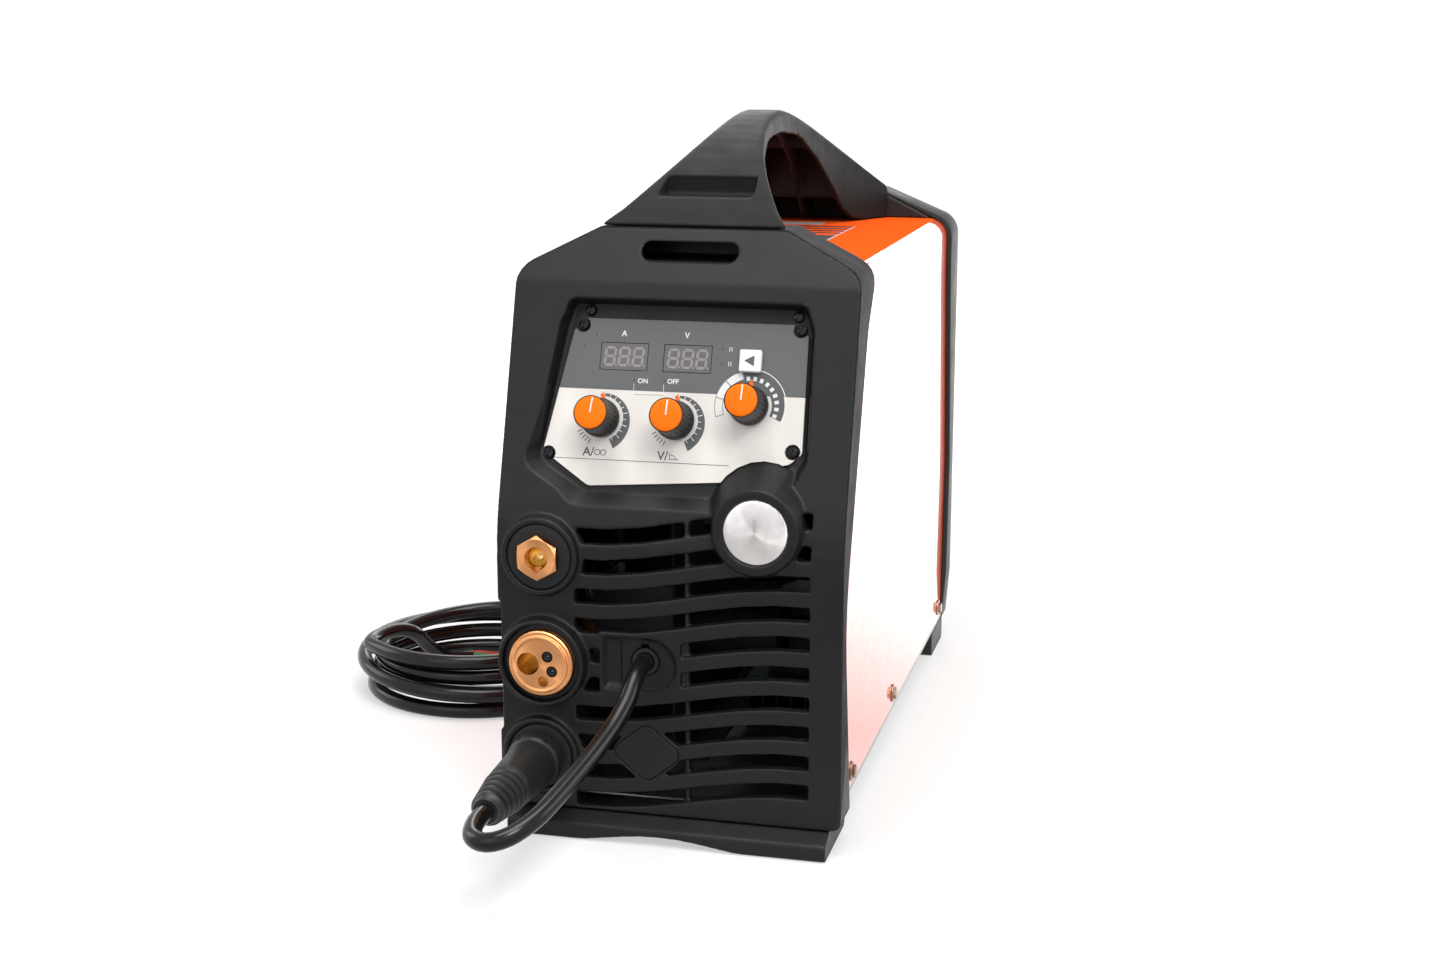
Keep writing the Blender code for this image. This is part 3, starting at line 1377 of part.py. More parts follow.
def make_feed_drive():
    left = wire_x() - ROLL_WIDTH / 2
    right = wire_x() + ROLL_WIDTH / 2
    motor_face = PARTITION_X + SHEET / 2 + SEAT_GAP
    place = (ROLL_Y, drive_z())
    roll = put("drive_roll", rod(ROLL_RADIUS, left, right, sides=20), side, STEEL, (*place, 0))
    shaft = rod(ROLL_SHAFT, left - 0.002, motor_face - SEAT_GAP, place, 20)
    join(roll, put("drive_shaft", shaft, side))
    motor = rod(MOTOR_RADIUS, motor_face, motor_face + MOTOR_LENGTH, place, 20)
    put("feed_motor", motor, side, STEEL)

    y, z = ARM_PIVOT
    arm_right = BLOCK_LEFT - SEAT_GAP
    arm_left = arm_right - ARM_THICK
    outline = rounded(
        [
            (y - 0.007, z - ARM_HALF, 0.005),
            (ARM_END, z - ARM_HALF, 0.001),
            (ARM_END, z + ARM_HALF, 0.001),
            (y - 0.007, z + ARM_HALF, 0.005),
        ],
        3,
    )
    local = [(a - y, b - z) for a, b in outline]
    arm = put("pressure_arm", prism(arm_left, arm_right, local), side, ALUMINIUM, (y, z, 0))
    axle_place = (ROLL_Y, pressure_z())
    join(arm, put("arm_axle", rod(ROLL_SHAFT, left - 0.002, arm_left + 0.001, axle_place, 20), side))
    middle = (arm_left + arm_right) / 2
    pad = box(
        (middle - 0.0055, ARM_END - 0.012, z - ARM_HALF),
        (middle + 0.0055, ARM_END - 0.001, z + ARM_HALF),
    )
    join(arm, put("arm_pad", pad))
    pivot_hole = rod(ROLL_SHAFT + SEAT_GAP, arm_left - 0.005, arm_right + 0.005, ARM_PIVOT, 20)
    cut(arm, put("arm_pivot_hole", pivot_hole, side))
    screw_place = (middle, ARM_END - 0.006)
    screw_hole = rod(0.002 + SEAT_GAP, z - 0.0025, z + 0.02, screw_place, 16)
    cut(arm, put("tension_hole", screw_hole))

    bore = ROLL_SHAFT + SEAT_GAP
    ring = [(bore, right), (ROLL_RADIUS, right), (ROLL_RADIUS, left), (bore, left)]
    put("pressure_roll", lathe(ring, 20), side, STEEL, (*axle_place, 0))

    seat = ARM_HALF + SEAT_GAP
    knob = [
        (0, seat + TENSION_HEIGHT),
        (TENSION_RADIUS * 0.8, seat + TENSION_HEIGHT),
        (TENSION_RADIUS, seat + TENSION_HEIGHT - 0.003),
        (TENSION_RADIUS, seat + 0.010),
        (0.005, seat + 0.008),
        (0.005, seat),
        (0.002, seat),
        (0.002, -0.002),
        (0, -0.002),
    ]
    put("tension_knob", lathe(knob, 12), None, BLACK, (*screw_place, z))


def make_hub():
    bore = HUB_AXLE + SEAT_GAP
    right = PARTITION_X - SHEET / 2 - 0.001
    left = right - HUB_LENGTH - 0.004
    profile = [
        (bore, right),
        (HUB_FLANGE, right),
        (HUB_FLANGE, right - 0.004),
        (HUB_RADIUS, right - 0.004),
        (HUB_RADIUS - 0.001, left + 0.002),
        (HUB_RADIUS - 0.003, left),
        (0, left),
        (0, left + 0.003),
        (bore, left + 0.003),
    ]
    solid = [profile[7], profile[8], *profile[:7]]
    put("spool_hub", lathe(solid, 20), side, BLACK, (*HUB_PLACE, 0))


# Electronics bay

def make_electronics():
    low = tray_top() + SEAT_GAP
    base = low + SINK_BASE
    top = low + SINK_HEIGHT
    pitch = (SINK_RIGHT - SINK_LEFT - SINK_FIN) / (SINK_FINS - 1)
    comb = [(SINK_LEFT, low), (SINK_RIGHT, low)]
    for n in reversed(range(SINK_FINS)):
        x = SINK_LEFT + n * pitch
        comb += [(x + SINK_FIN, top), (x, top)]
        if n:
            comb += [(x, base), (x - pitch + SINK_FIN, base)]
    span = (CASE_FRONT - SINK_REAR, CASE_FRONT - SINK_FRONT)
    put("heatsink", prism(*span, comb), front, ALUMINIUM)

    low = top + SEAT_GAP
    sheet = box((SINK_LEFT, SINK_FRONT, low), (SINK_RIGHT, SINK_REAR, low + BOARD))
    board = put("power_board", sheet, None, BOARD_GREEN)
    radius, tall = CAPACITOR
    for y in (SINK_REAR - 0.022, SINK_REAR - 0.062):
        can = rod(radius, low + 0.0005, low + BOARD + tall, ((SINK_LEFT + SINK_RIGHT) / 2, y), 24)
        join(board, put("capacitor", can))

    wide, deep, tall = CORE_SIZE
    x, y = (SINK_LEFT + SINK_RIGHT) / 2, SINK_FRONT + 0.012 + deep / 2
    low += BOARD + SEAT_GAP
    core = box((x - wide / 2, y - deep / 2, low), (x + wide / 2, y + deep / 2, low + tall))
    core = put("transformer", core, None, FERRITE)
    window = box(
        (x - wide * 0.34, y - deep, low + tall * 0.26),
        (x + wide * 0.34, y + deep, low + tall * 0.74),
    )
    cut(core, put("core_window", window))
    winding = box(
        (x - wide * 0.26, y - deep * 0.62, low + tall * 0.18),
        (x + wide * 0.26, y + deep * 0.62, low + tall * 0.82),
    )
    join(core, put("winding", winding))


# Leads

def coil_route():
    # Clockwise from above: each layer spirals in or out, with a half turn at one radius for each climb
    points = []
    angle, radius, height = 0.0, COIL_RADIUS, COIL_FLOOR
    inward = True
    for layer, turns in enumerate(COIL_LAYER_TURNS):
        if layer:
            steps = round(COIL_CLIMB * COIL_POINTS)
            for n in range(steps):
                ease = (1 - cos(pi * n / steps)) / 2
                points.append((angle - 2 * pi * COIL_CLIMB * n / steps, radius, height + COIL_RISE * ease))
            angle -= 2 * pi * COIL_CLIMB
            height += COIL_RISE
        steps = max(4, round(turns * COIL_POINTS))
        change = COIL_STEP * turns * (-1 if inward else 1)
        for n in range(steps):
            points.append((angle - 2 * pi * turns * n / steps, radius + change * n / steps, height))
        angle -= 2 * pi * turns
        radius += change
        inward = not inward
    points.append((angle, radius, height))
    return points


def spot(angle, radius, height):
    return Vector((COIL_CENTRE[0] + radius * cos(angle), COIL_CENTRE[1] + radius * sin(angle), height))


def least_gap(points, radius, skip):
    # Smallest distance between stretches of the tube that are more than skip apart along it
    fine = []
    for a, b in zip(points, points[1:]):
        fine += [a.lerp(b, n / 4) for n in range(4)]
    run = [0.0]
    for a, b in zip(fine, fine[1:]):
        run.append(run[-1] + (b - a).length)
    best = min(
        (fine[i] - fine[j]).length for i in range(len(fine)) for j in range(i) if run[i] - run[j] > skip
    )
    return best - 2 * radius


def make_leads(plug_end):
    start = Vector(POLARITY_ROUTE[0])
    route = [*POLARITY_ROUTE]
    route[0] = (LEAD_HOLE[0], CASE_FRONT + LEAD_RECESS_DEPTH + 0.003 - SEAT_GAP, LEAD_HOLE[1])
    route[1] = (start.x, start.y, start.z)
    route.insert(2, POLARITY_ROUTE[1])
    route.append((LOWER_SOCKET[0], CASE_FRONT - plug_end - SEAT_GAP, LOWER_SOCKET[1]))
    put("polarity_lead", tube(smooth_route(route, 0.009), CORD_RADIUS, 2), None, RUBBER)

    mains = [*MAINS_ROUTE]
    mains[0] = (GLAND_PLACE[0], CASE_REAR + GLAND_NUT_LENGTH + GLAND_TAPER + SEAT_GAP, GLAND_PLACE[1])
    meet = 2 * CORD_RADIUS + SEAT_GAP
    mains.append((COIL_CENTRE[0] + COIL_RADIUS, COIL_CENTRE[1] + meet, COIL_FLOOR))
    put("mains_lead", tube(smooth_route(mains, 0.015), CORD_RADIUS, 2), None, RUBBER)

    turns = coil_route()
    coil = [spot(*turn) for turn in turns]
    straight = 2 * CORD_RADIUS
    first = coil[0] + Vector((0, straight, 0))
    angle, radius, height = turns[-1]
    ahead = Vector((sin(angle), -cos(angle), 0))
    last = coil[-1] + ahead * straight
    coil = [first, *coil, last]
    put("mains_coil", tube(coil, CORD_RADIUS, 1), None, RUBBER)
    gap = least_gap(coil, CORD_RADIUS, 6 * CORD_RADIUS)
    print(f"mains coil: least gap to itself {gap * 1000:.2f} mm")

    # The free end drops inside the coil and shows its bare cores
    begin = last + ahead * SEAT_GAP
    tail = [begin, begin + ahead * straight]
    offset = tail[-1] - Vector((*COIL_CENTRE, height))
    start_angle = angle - (angle - Vector((offset.x, offset.y)).angle_signed(Vector((1, 0)))) % (2 * pi)
    start_radius = hypot(offset.x, offset.y)
    for n in range(1, TAIL_POINTS + 1):
        t = n / TAIL_POINTS
        inward = min(1.0, t / 0.45)
        drop = min(1.0, max(0.0, (t - 0.25) / 0.60))
        radius = start_radius + (TAIL_RADIUS - start_radius) * (3 * inward**2 - 2 * inward**3)
        z = height + (COIL_FLOOR - height) * (3 * drop**2 - 2 * drop**3)
        tail.append(spot(start_angle - TAIL_TURN * t, radius, z))
    put("mains_tail", tube(tail, CORD_RADIUS, 2), None, RUBBER)

    heading = (tail[-1] - tail[-2]).normalized()
    across = Vector((-heading.y, heading.x, 0))
    root = tail[-1] + heading * SEAT_GAP
    stub = rod(CORD_RADIUS * 0.85, 0, 0.003, sides=16)
    turn = heading.to_track_quat("Z", "Y").to_matrix().to_4x4()
    stub.transform(Matrix.Translation(root) @ turn)
    cores = put("mains_cores", stub, None, CORE_GREEN)
    for n in (-1, 0, 1):
        aside = across * (n * 0.0031)
        spread = across * ((n - 1) * 0.006)
        fall = Vector((0, 0, CORE_RADIUS + 0.0004 - COIL_FLOOR))
        length = heading * CORE_LENGTH
        line = [root + aside + length * 0.02, root + aside + length * 0.2]
        line += [root + aside + spread * 0.5 + (length + fall) * 0.6, root + aside + spread + length + fall]
        join(cores, put("core", tube(smooth_route(line, 0.009), CORE_RADIUS, 1)))


make_bezel()
make_overlay()
make_control_board()
make_knobs()
make_button()
make_panel_screws()
make_badge()
make_output_socket("upper", UPPER_SOCKET)
contact_face = make_output_socket("lower", LOWER_SOCKET)
make_torch_socket()
make_lead_grommet()
make_blank_cover()
make_plug(contact_face)
make_handle()
make_cover()
make_door()
make_latch()
make_base()
make_cover_screws()
make_rear_panel()
make_fan()
make_rear_fittings()
make_partition()
make_feed_block()
make_feed_drive()
make_hub()
make_electronics()
make_leads(contact_face + SEAT_GAP + PLUG_LENGTH)
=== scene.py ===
import json
from math import cos, hypot, pi, radians, sin

import bmesh
import bpy
from mathutils import Matrix, Vector
from mathutils.bvhtree import BVHTree


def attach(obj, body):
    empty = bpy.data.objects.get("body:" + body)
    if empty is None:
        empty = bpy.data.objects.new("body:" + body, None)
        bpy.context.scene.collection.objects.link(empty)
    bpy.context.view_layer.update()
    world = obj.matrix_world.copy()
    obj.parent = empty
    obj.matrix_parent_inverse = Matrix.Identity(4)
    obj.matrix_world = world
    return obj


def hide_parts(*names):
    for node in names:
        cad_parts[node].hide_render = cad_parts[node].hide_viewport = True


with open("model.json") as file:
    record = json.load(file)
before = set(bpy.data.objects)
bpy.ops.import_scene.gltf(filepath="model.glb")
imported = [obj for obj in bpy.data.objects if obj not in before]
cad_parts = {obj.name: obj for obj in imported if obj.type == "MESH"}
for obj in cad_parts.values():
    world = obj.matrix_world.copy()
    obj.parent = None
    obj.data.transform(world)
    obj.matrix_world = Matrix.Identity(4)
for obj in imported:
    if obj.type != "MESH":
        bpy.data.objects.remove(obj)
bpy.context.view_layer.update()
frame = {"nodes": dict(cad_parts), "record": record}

nodes = frame["nodes"]
slotOf = {row["node"]: row["material_slot"] for row in frame["record"]["subparts"]}
bodyOf = {node: body for body, group in frame["record"]["behaviour"]["bodies"].items() for node in group}


# Places on the machine: each frame has x across, y up and z out of the surface

def placeFrom(origin, across, up):
    across, up = Vector(across), Vector(up)
    out = across.cross(up)
    place = Matrix((across, up, out)).transposed().to_4x4()
    place.translation = Vector(origin)
    return place


panelLean = radians(19)
frontFace = placeFrom((0, -0.236, 0), (1, 0, 0), (0, 0, 1))
panelFace = placeFrom((0, -0.2035, 0.26), (1, 0, 0), (0, sin(panelLean), cos(panelLean)))
rightFace = placeFrom((0, 0, 0), (0, 1, 0), (0, 0, 1))
rearFace = placeFrom((0, 0.235, 0), (-1, 0, 0), (0, 0, 1))
roofFace = placeFrom((0, 0, 0), (1, 0, 0), (0, 1, 0))


def spanOf(name, place):     # lowest and highest corner of a CAD node, in a place's own axes
    back = place.inverted()
    spots = [back @ v.co for v in nodes[name].data.vertices]
    low = Vector([min(s[n] for s in spots) for n in range(3)])
    high = Vector([max(s[n] for s in spots) for n in range(3)])
    return low, high


def middleOf(name, place):
    low, high = spanOf(name, place)
    return (low + high) / 2


def seatOf(name, face):      # a CAD node's corners on a face, and the face's place moved to the node's middle
    low, high = spanOf(name, face)
    return low, high, face @ Matrix.Translation(((low.x + high.x) / 2, (low.y + high.y) / 2, 0))


# Camera at the photograph's viewpoint

camera = {"spot": (0.313, -1.345, 0.480), "yaw": radians(14.1), "pitch": radians(12.5), "lens": 50.0}
cameraData = bpy.data.cameras.new("viewCamera")
cameraData.lens = camera["lens"]
cameraData.sensor_width = 36.0
cameraData.clip_end = 50.0
viewCamera = bpy.data.objects.new("viewCamera", cameraData)
bpy.context.scene.collection.objects.link(viewCamera)
viewCamera.location = camera["spot"]
viewCamera.rotation_euler = (pi / 2 - camera["pitch"], 0, camera["yaw"])
bpy.context.scene.camera = viewCamera
bpy.context.scene.view_settings.view_transform = "Standard"


# Shader building

def newFinish(name, values):
    finish = bpy.data.materials.new(name)
    finish.use_nodes = True
    shader = finish.node_tree.nodes["Principled BSDF"]
    for socket, value in values.items():
        shader.inputs[socket].default_value = value
    return finish


def treeOf(holder):      # the node tree of a material or the world, or a tree itself
    return getattr(holder, "node_tree", holder)


def addNode(holder, kind, values=None, **settings):
    node = treeOf(holder).nodes.new(kind)
    for key, value in settings.items():
        setattr(node, key, value)
    for socket, value in (values or {}).items():
        node.inputs[socket].default_value = value
    return node


def wire(holder, source, target):
    treeOf(holder).links.new(source, target)


def mathOn(holder, operation, *sources):
    node = addNode(holder, "ShaderNodeMath", operation=operation)
    for socket, source in zip(node.inputs, sources):
        if isinstance(source, (int, float)):
            socket.default_value = source
        else:
            wire(holder, source, socket)
    return node.outputs[0]


def objectSpace(finish, place=None, stretch=None):   # object coordinates, moved into a place's own axes
    back = (place or Matrix.Identity(4)).inverted()
    space = addNode(finish, "ShaderNodeTexCoord").outputs["Object"]
    steps = [{"Rotation": back.to_euler(), "Location": back.translation}]
    if stretch:
        steps.append({"Scale": stretch})
    for values in steps:
        mapping = addNode(finish, "ShaderNodeMapping", values)
        wire(finish, space, mapping.inputs["Vector"])
        space = mapping.outputs["Vector"]
    return space


def noiseOn(finish, space, scale, detail, rough=0.55):
    node = addNode(finish, "ShaderNodeTexNoise", {"Scale": scale, "Detail": detail, "Roughness": rough})
    wire(finish, space, node.inputs["Vector"])
    return node.outputs["Fac"]


def spread(holder, source, low, high, fromLow=0.3, fromHigh=0.7):
    node = addNode(holder, "ShaderNodeMapRange",
                   {"From Min": fromLow, "From Max": fromHigh, "To Min": low, "To Max": high})
    wire(holder, source, node.inputs["Value"])
    return node.outputs["Result"]


def blendOf(finish, factor, first, second):
    node = addNode(finish, "ShaderNodeMix", data_type="RGBA")
    for socket, colour in ((node.inputs[6], first), (node.inputs[7], second)):
        if isinstance(colour, tuple):
            socket.default_value = (*colour, 1)
        else:
            wire(finish, colour, socket)
    wire(finish, factor, node.inputs[0])
    return node.outputs[2]


def shaded(tone, share):
    return tuple(min(1.0, share * c) for c in tone)


def surfaced(finish, colour, rough, bump=None):      # rough: pattern and range, bump: pattern and depth
    shader = finish.node_tree.nodes["Principled BSDF"]
    wire(finish, colour, shader.inputs["Base Color"])
    wire(finish, spread(finish, *rough), shader.inputs["Roughness"])
    if bump:
        pattern, depth = bump
        node = addNode(finish, "ShaderNodeBump", {"Strength": 1.0, "Distance": depth})
        wire(finish, pattern, node.inputs["Height"])
        wire(finish, node.outputs["Normal"], shader.inputs["Normal"])
    return finish


def mottled(finish, pattern, first, second, *run):
    return blendOf(finish, spread(finish, pattern, 0, 1, *run), first, second)


def mouldedPlastic(name, tone, roughness, grain=0.00003, specular=0.4):
    finish = newFinish(name, {"Specular IOR Level": specular})
    space = objectSpace(finish)
    colour = mottled(finish, noiseOn(finish, space, 14, 3), shaded(tone, 0.86), shaded(tone, 1.12))
    rough = noiseOn(finish, space, 60, 4), roughness - 0.05, roughness + 0.06
    return surfaced(finish, colour, rough, (noiseOn(finish, space, 1900, 2), grain))


def glossPaint(name, tone, coat=1.0, specular=0.2):
    finish = newFinish(name, {"Coat Weight": coat, "Coat Roughness": 0.02, "Specular IOR Level": specular})
    space = objectSpace(finish)
    colour = mottled(finish, noiseOn(finish, space, 6, 3), shaded(tone, 0.93), tone)
    dust = noiseOn(finish, space, 90, 6, 0.7)
    return surfaced(finish, colour, (dust, 0.30, 0.38), (noiseOn(finish, space, 260, 2), 0.000002))


def turnedMetal(name, tone, roughness, place, depth=0.000006):   # lathe rings about a place's z axis
    finish = newFinish(name, {"Metallic": 1.0, "Anisotropic": 0.9})
    space = objectSpace(finish, place)
    around = addNode(finish, "ShaderNodeTangent", direction_type="RADIAL", axis="Y")
    wire(finish, around.outputs[0], finish.node_tree.nodes["Principled BSDF"].inputs["Tangent"])
    rings = addNode(finish, "ShaderNodeTexWave", {"Scale": 130.0, "Distortion": 0.6, "Detail": 2.0},
                    wave_type="RINGS", rings_direction="Z")
    wire(finish, space, rings.inputs["Vector"])
    stain = noiseOn(finish, space, 180, 5)
    colour = mottled(finish, stain, shaded(tone, 0.86), tone)
    rough = stain, roughness - 0.03, roughness + 0.05
    return surfaced(finish, colour, rough, (rings.outputs["Fac"], depth))


def brushedMetal(name, tone, roughness, stretch=(8, 400, 400), depth=0.000006, metallic=1.0):
    finish = newFinish(name, {"Metallic": metallic})
    lines = noiseOn(finish, objectSpace(finish, stretch=stretch), 6, 3)
    colour = mottled(finish, noiseOn(finish, objectSpace(finish), 25, 4), shaded(tone, 0.8), tone)
    return surfaced(finish, colour, (lines, roughness - 0.08, roughness + 0.10), (lines, depth))


def printInk(name, tone):
    finish = newFinish(name, {})
    mottle = noiseOn(finish, objectSpace(finish), 900, 3)
    return surfaced(finish, mottled(finish, mottle, shaded(tone, 0.9), tone), (mottle, 0.45, 0.58))


def controlFilm(name, dark, pale, seam):      # printed film: dark above the seam, satin silver below
    finish = newFinish(name, {"Metallic": 0.12, "Specular IOR Level": 0.5})
    space = objectSpace(finish, panelFace)
    split = addNode(finish, "ShaderNodeSeparateXYZ")
    wire(finish, space, split.inputs[0])
    above = spread(finish, split.outputs["Y"], 0, 1, seam - 0.00012, seam + 0.00012)
    cloud = noiseOn(finish, objectSpace(finish, panelFace, (1.0, 0.45, 1.0)), 34, 2)
    speck = noiseOn(finish, space, 2600, 2)
    lower = mottled(finish, cloud, shaded(pale, 0.86), pale)
    upper = mottled(finish, speck, shaded(dark, 0.84), shaded(dark, 1.18))
    return surfaced(finish, blendOf(finish, above, lower, upper), (speck, 0.34, 0.46), (speck, 0.000008))


def cordSheath(name, tone, roughness):    # smooth PVC with faint scuffs
    finish = newFinish(name, {"Specular IOR Level": 0.26})
    space = objectSpace(finish)
    scuff = noiseOn(finish, space, 45, 4, 0.5)
    colour = mottled(finish, scuff, tone, shaded(tone, 1.3), 0.45, 0.75)
    rough = scuff, roughness - 0.03, roughness + 0.06
    return surfaced(finish, colour, rough, (noiseOn(finish, space, 240, 1), 0.00001))


charcoal = mouldedPlastic("charcoalPlastic", (0.0078, 0.0076, 0.0079), 0.46, specular=0.25)
# A copy of the charcoal plastic with less sheen, for the bezel's outer flanks: painted shade that dims their
# reflection
flankPlastic = mouldedPlastic("flankPlastic", (0.0100, 0.0096, 0.0096), 0.62, specular=0.08)
handlePlastic = mouldedPlastic("handlePlastic", (0.0098, 0.0095, 0.0097), 0.56, specular=0.14)
darkPlastic = mouldedPlastic("darkPlastic", (0.015, 0.015, 0.016), 0.52, specular=0.28)
insulator = mouldedPlastic("socketInsulator", (0.010, 0.010, 0.011), 0.55, specular=0.28)
knobBlack = mouldedPlastic("knobBlack", (0.010, 0.010, 0.011), 0.36, grain=0.00001)
bootRubber = mouldedPlastic("bootRubber", (0.010, 0.010, 0.010), 0.46, grain=0.00005)
orangePaint = glossPaint("orangePaint", (0.94, 0.105, 0.012))
# A copy of the orange paint, a little darker and with no coat or sheen, for the roof alone: painted shade in
# place of the roof's reflection
orangeRoof = glossPaint("orangeRoof", (0.90, 0.098, 0.012), coat=0.0, specular=0.0)
orangeCap = mouldedPlastic("orangeCap", (1.0, 0.172, 0.003), 0.45, grain=0.00001, specular=0.15)
keyWhite = mouldedPlastic("keyWhite", (0.86, 0.85, 0.83), 0.35, grain=0.00001)
zincSteel = brushedMetal("zincSteel", (0.62, 0.61, 0.60), 0.34)
galvanised = brushedMetal("galvanised", (0.46, 0.46, 0.47), 0.5, stretch=(40, 40, 40))
yellowZinc = brushedMetal("yellowZinc", (0.36, 0.27, 0.20), 0.30)
blackSteel = brushedMetal("blackSteel", (0.018, 0.018, 0.019), 0.28, metallic=0.8)
castAlloy = brushedMetal("castAlloy", (0.70, 0.70, 0.71), 0.42, stretch=(160, 160, 160), depth=0.00003)
boardGreen = mouldedPlastic("boardGreen", (0.02, 0.16, 0.06), 0.4)
boardDark = mouldedPlastic("boardDark", (0.010, 0.016, 0.013), 0.45)
ferrite = mouldedPlastic("ferriteCore", (0.035, 0.034, 0.036), 0.6, grain=0.00006)
filmSilver = controlFilm("filmSilver", (0.095, 0.095, 0.097), (0.75, 0.71, 0.67), 0.0123)
smokeWindow = mouldedPlastic("smokeWindow", (0.085, 0.081, 0.083), 0.24, grain=0.000004, specular=0.5)
copperWire = brushedMetal("copperWire", (0.62, 0.25, 0.11), 0.3, stretch=(500, 500, 20))
brassTone = (0.78, 0.36, 0.15)
brassPlain = brushedMetal("brassPlain", brassTone, 0.25)
# Painted light: a lighter, yellower copy of the brass, for the walls inside the bores
boreBrass = brushedMetal("boreBrass", (0.78, 0.52, 0.21), 0.20)
cordBlack = cordSheath("cordBlack", (0.006, 0.006, 0.0065), 0.18)
whiteInk = printInk("whiteInk", (0.80, 0.80, 0.79))
greyInk = printInk("greyInk", (0.085, 0.088, 0.092))
lineInk = printInk("lineInk", (0.24, 0.24, 0.245))
dimDigit = printInk("dimDigit", (0.27, 0.25, 0.25))
# Black for the heatsink and the feed motor, and painted shade on faces inside the cover, door and handle
innerBlack = mouldedPlastic("innerBlack", (0.012, 0.012, 0.012), 0.62, grain=0.00005, specular=0.25)
# Dark finishes for the partition and feed block in place of their bare metal: painted shade that keeps the
# grille's slots dark
innerGrey = mouldedPlastic("innerGrey", (0.035, 0.036, 0.038), 0.55, grain=0.00005, specular=0.3)
blockGrey = brushedMetal("blockGrey", (0.10, 0.10, 0.105), 0.45, metallic=0.6)
orangeInk = printInk("orangeInk", (0.95, 0.16, 0.01))
blackInk = printInk("blackInk", (0.018, 0.018, 0.02))
# Pale roof bar, and the pale line along the roof stripes' right ends, a painted highlight
greyBar = printInk("greyBar", (0.42, 0.40, 0.42))
print("finishes made")


# Making meshes

def newObject(name, mesh):
    made = bpy.data.objects.new(name, mesh)
    bpy.context.scene.collection.objects.link(made)
    return made


def meshOf(work):
    mesh = bpy.data.meshes.new("shape")
    work.to_mesh(mesh)
    work.free()
    return mesh


def baked(made):       # the object's modifiers turned into its plain mesh
    bpy.context.view_layer.update()
    ready = made.evaluated_get(bpy.context.evaluated_depsgraph_get())
    mesh = bpy.data.meshes.new_from_object(ready)
    made.modifiers.clear()
    made.data = mesh
    return made


def smoothed(made, angle=35):
    made.data.shade_smooth()
    made.data.set_sharp_from_angle(angle=radians(angle))
    return made


def easedEdges(made, width, segments=2, angle=30, sharp=35):     # flat faces stay flat-looking
    ease = made.modifiers.new("ease", "BEVEL")
    ease.width = width
    ease.segments = segments
    ease.limit_method = "ANGLE"
    ease.angle_limit = radians(angle)
    smoothed(baked(made), sharp)
    level = made.modifiers.new("level", "WEIGHTED_NORMAL")
    level.weight = 100
    level.keep_sharp = True
    return baked(made)


def settle(made, finish, body, *stoodFor, slot=None):     # the last step of every piece
    made.data.materials.clear()
    made.data.materials.append(finish)
    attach(made, body)
    if stoodFor:
        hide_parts(*stoodFor)
    return made


def mergedCopy(name, node):
    work = bmesh.new()
    work.from_mesh(nodes[node].data)
    bmesh.ops.remove_doubles(work, verts=work.verts, dist=0.000002)
    bmesh.ops.dissolve_limit(work, angle_limit=radians(0.4), verts=work.verts, edges=work.edges)
    return newObject(name, meshOf(work))


def plainName(node):
    first, *rest = node.split("_")
    return first + "".join(word.capitalize() for word in rest)


def refined(node, finish, edge=0.0003, segments=2):    # a CAD piece with its edges eased
    made = easedEdges(mergedCopy(plainName(node), node), edge, segments, 32, 36)
    return settle(made, finish, bodyOf[node], node)


def seated(node, mesh, place, finish, angle):      # a new mesh in its place, instead of a CAD node
    mesh.transform(place)
    return settle(smoothed(newObject(plainName(node), mesh), angle), finish, bodyOf[node], node)


def softened(node, finish, voxel, passes, keep):     # a moulding: every edge rounded
    made = mergedCopy(plainName(node), node)
    remesh = made.modifiers.new("remesh", "REMESH")
    remesh.mode = "VOXEL"
    remesh.voxel_size = voxel
    ease = made.modifiers.new("ease", "SMOOTH")
    ease.factor = 0.5
    ease.iterations = passes
    thin = made.modifiers.new("thin", "DECIMATE")
    thin.ratio = keep
    baked(made)
    made.data.shade_smooth()
    print(node, len(made.data.polygons), "faces")
    return settle(made, finish, bodyOf[node], node)


def turned(profile, steps):     # a closed profile of (radius, height) turned about z
    work = bmesh.new()
    ring = [work.verts.new((r, 0, z)) for r, z in profile]
    edges = [work.edges.new(pair) for pair in zip(ring, ring[1:] + ring[:1])]
    bmesh.ops.spin(work, geom=ring + edges, axis=(0, 0, 1), cent=(0, 0, 0), angle=2 * pi, steps=steps,
                   use_merge=True)
    bmesh.ops.remove_doubles(work, verts=work.verts, dist=0.000001)
    slim = [f for f in work.faces if f.calc_area() < 1e-14]
    bmesh.ops.delete(work, geom=slim, context="FACES_ONLY")
    bmesh.ops.recalc_face_normals(work, faces=work.faces)
    return meshOf(work)


def ringed(stations, sides, bend=None):     # closed round shape, its (radius, height) from bottom to top
    work = bmesh.new()
    rows = []
    for radius, height in stations:
        row = []
        for n in range(sides):
            angle = 2 * pi * n / sides
            r = bend(radius, height, angle) if bend else radius
            row.append(work.verts.new((r * cos(angle), r * sin(angle), height)))
        rows.append(row)
    for low, high in zip(rows, rows[1:]):
        for n in range(sides):
            m = (n + 1) % sides
            work.faces.new((low[n], low[m], high[m], high[n]))
    for row, height in ((rows[0], stations[0][1]), (rows[-1], stations[-1][1])):
        middle = work.verts.new((0, 0, height))
        for n in range(sides):
            work.faces.new((row[n], row[(n + 1) % sides], middle))
    bmesh.ops.recalc_face_normals(work, faces=work.faces)
    return meshOf(work)


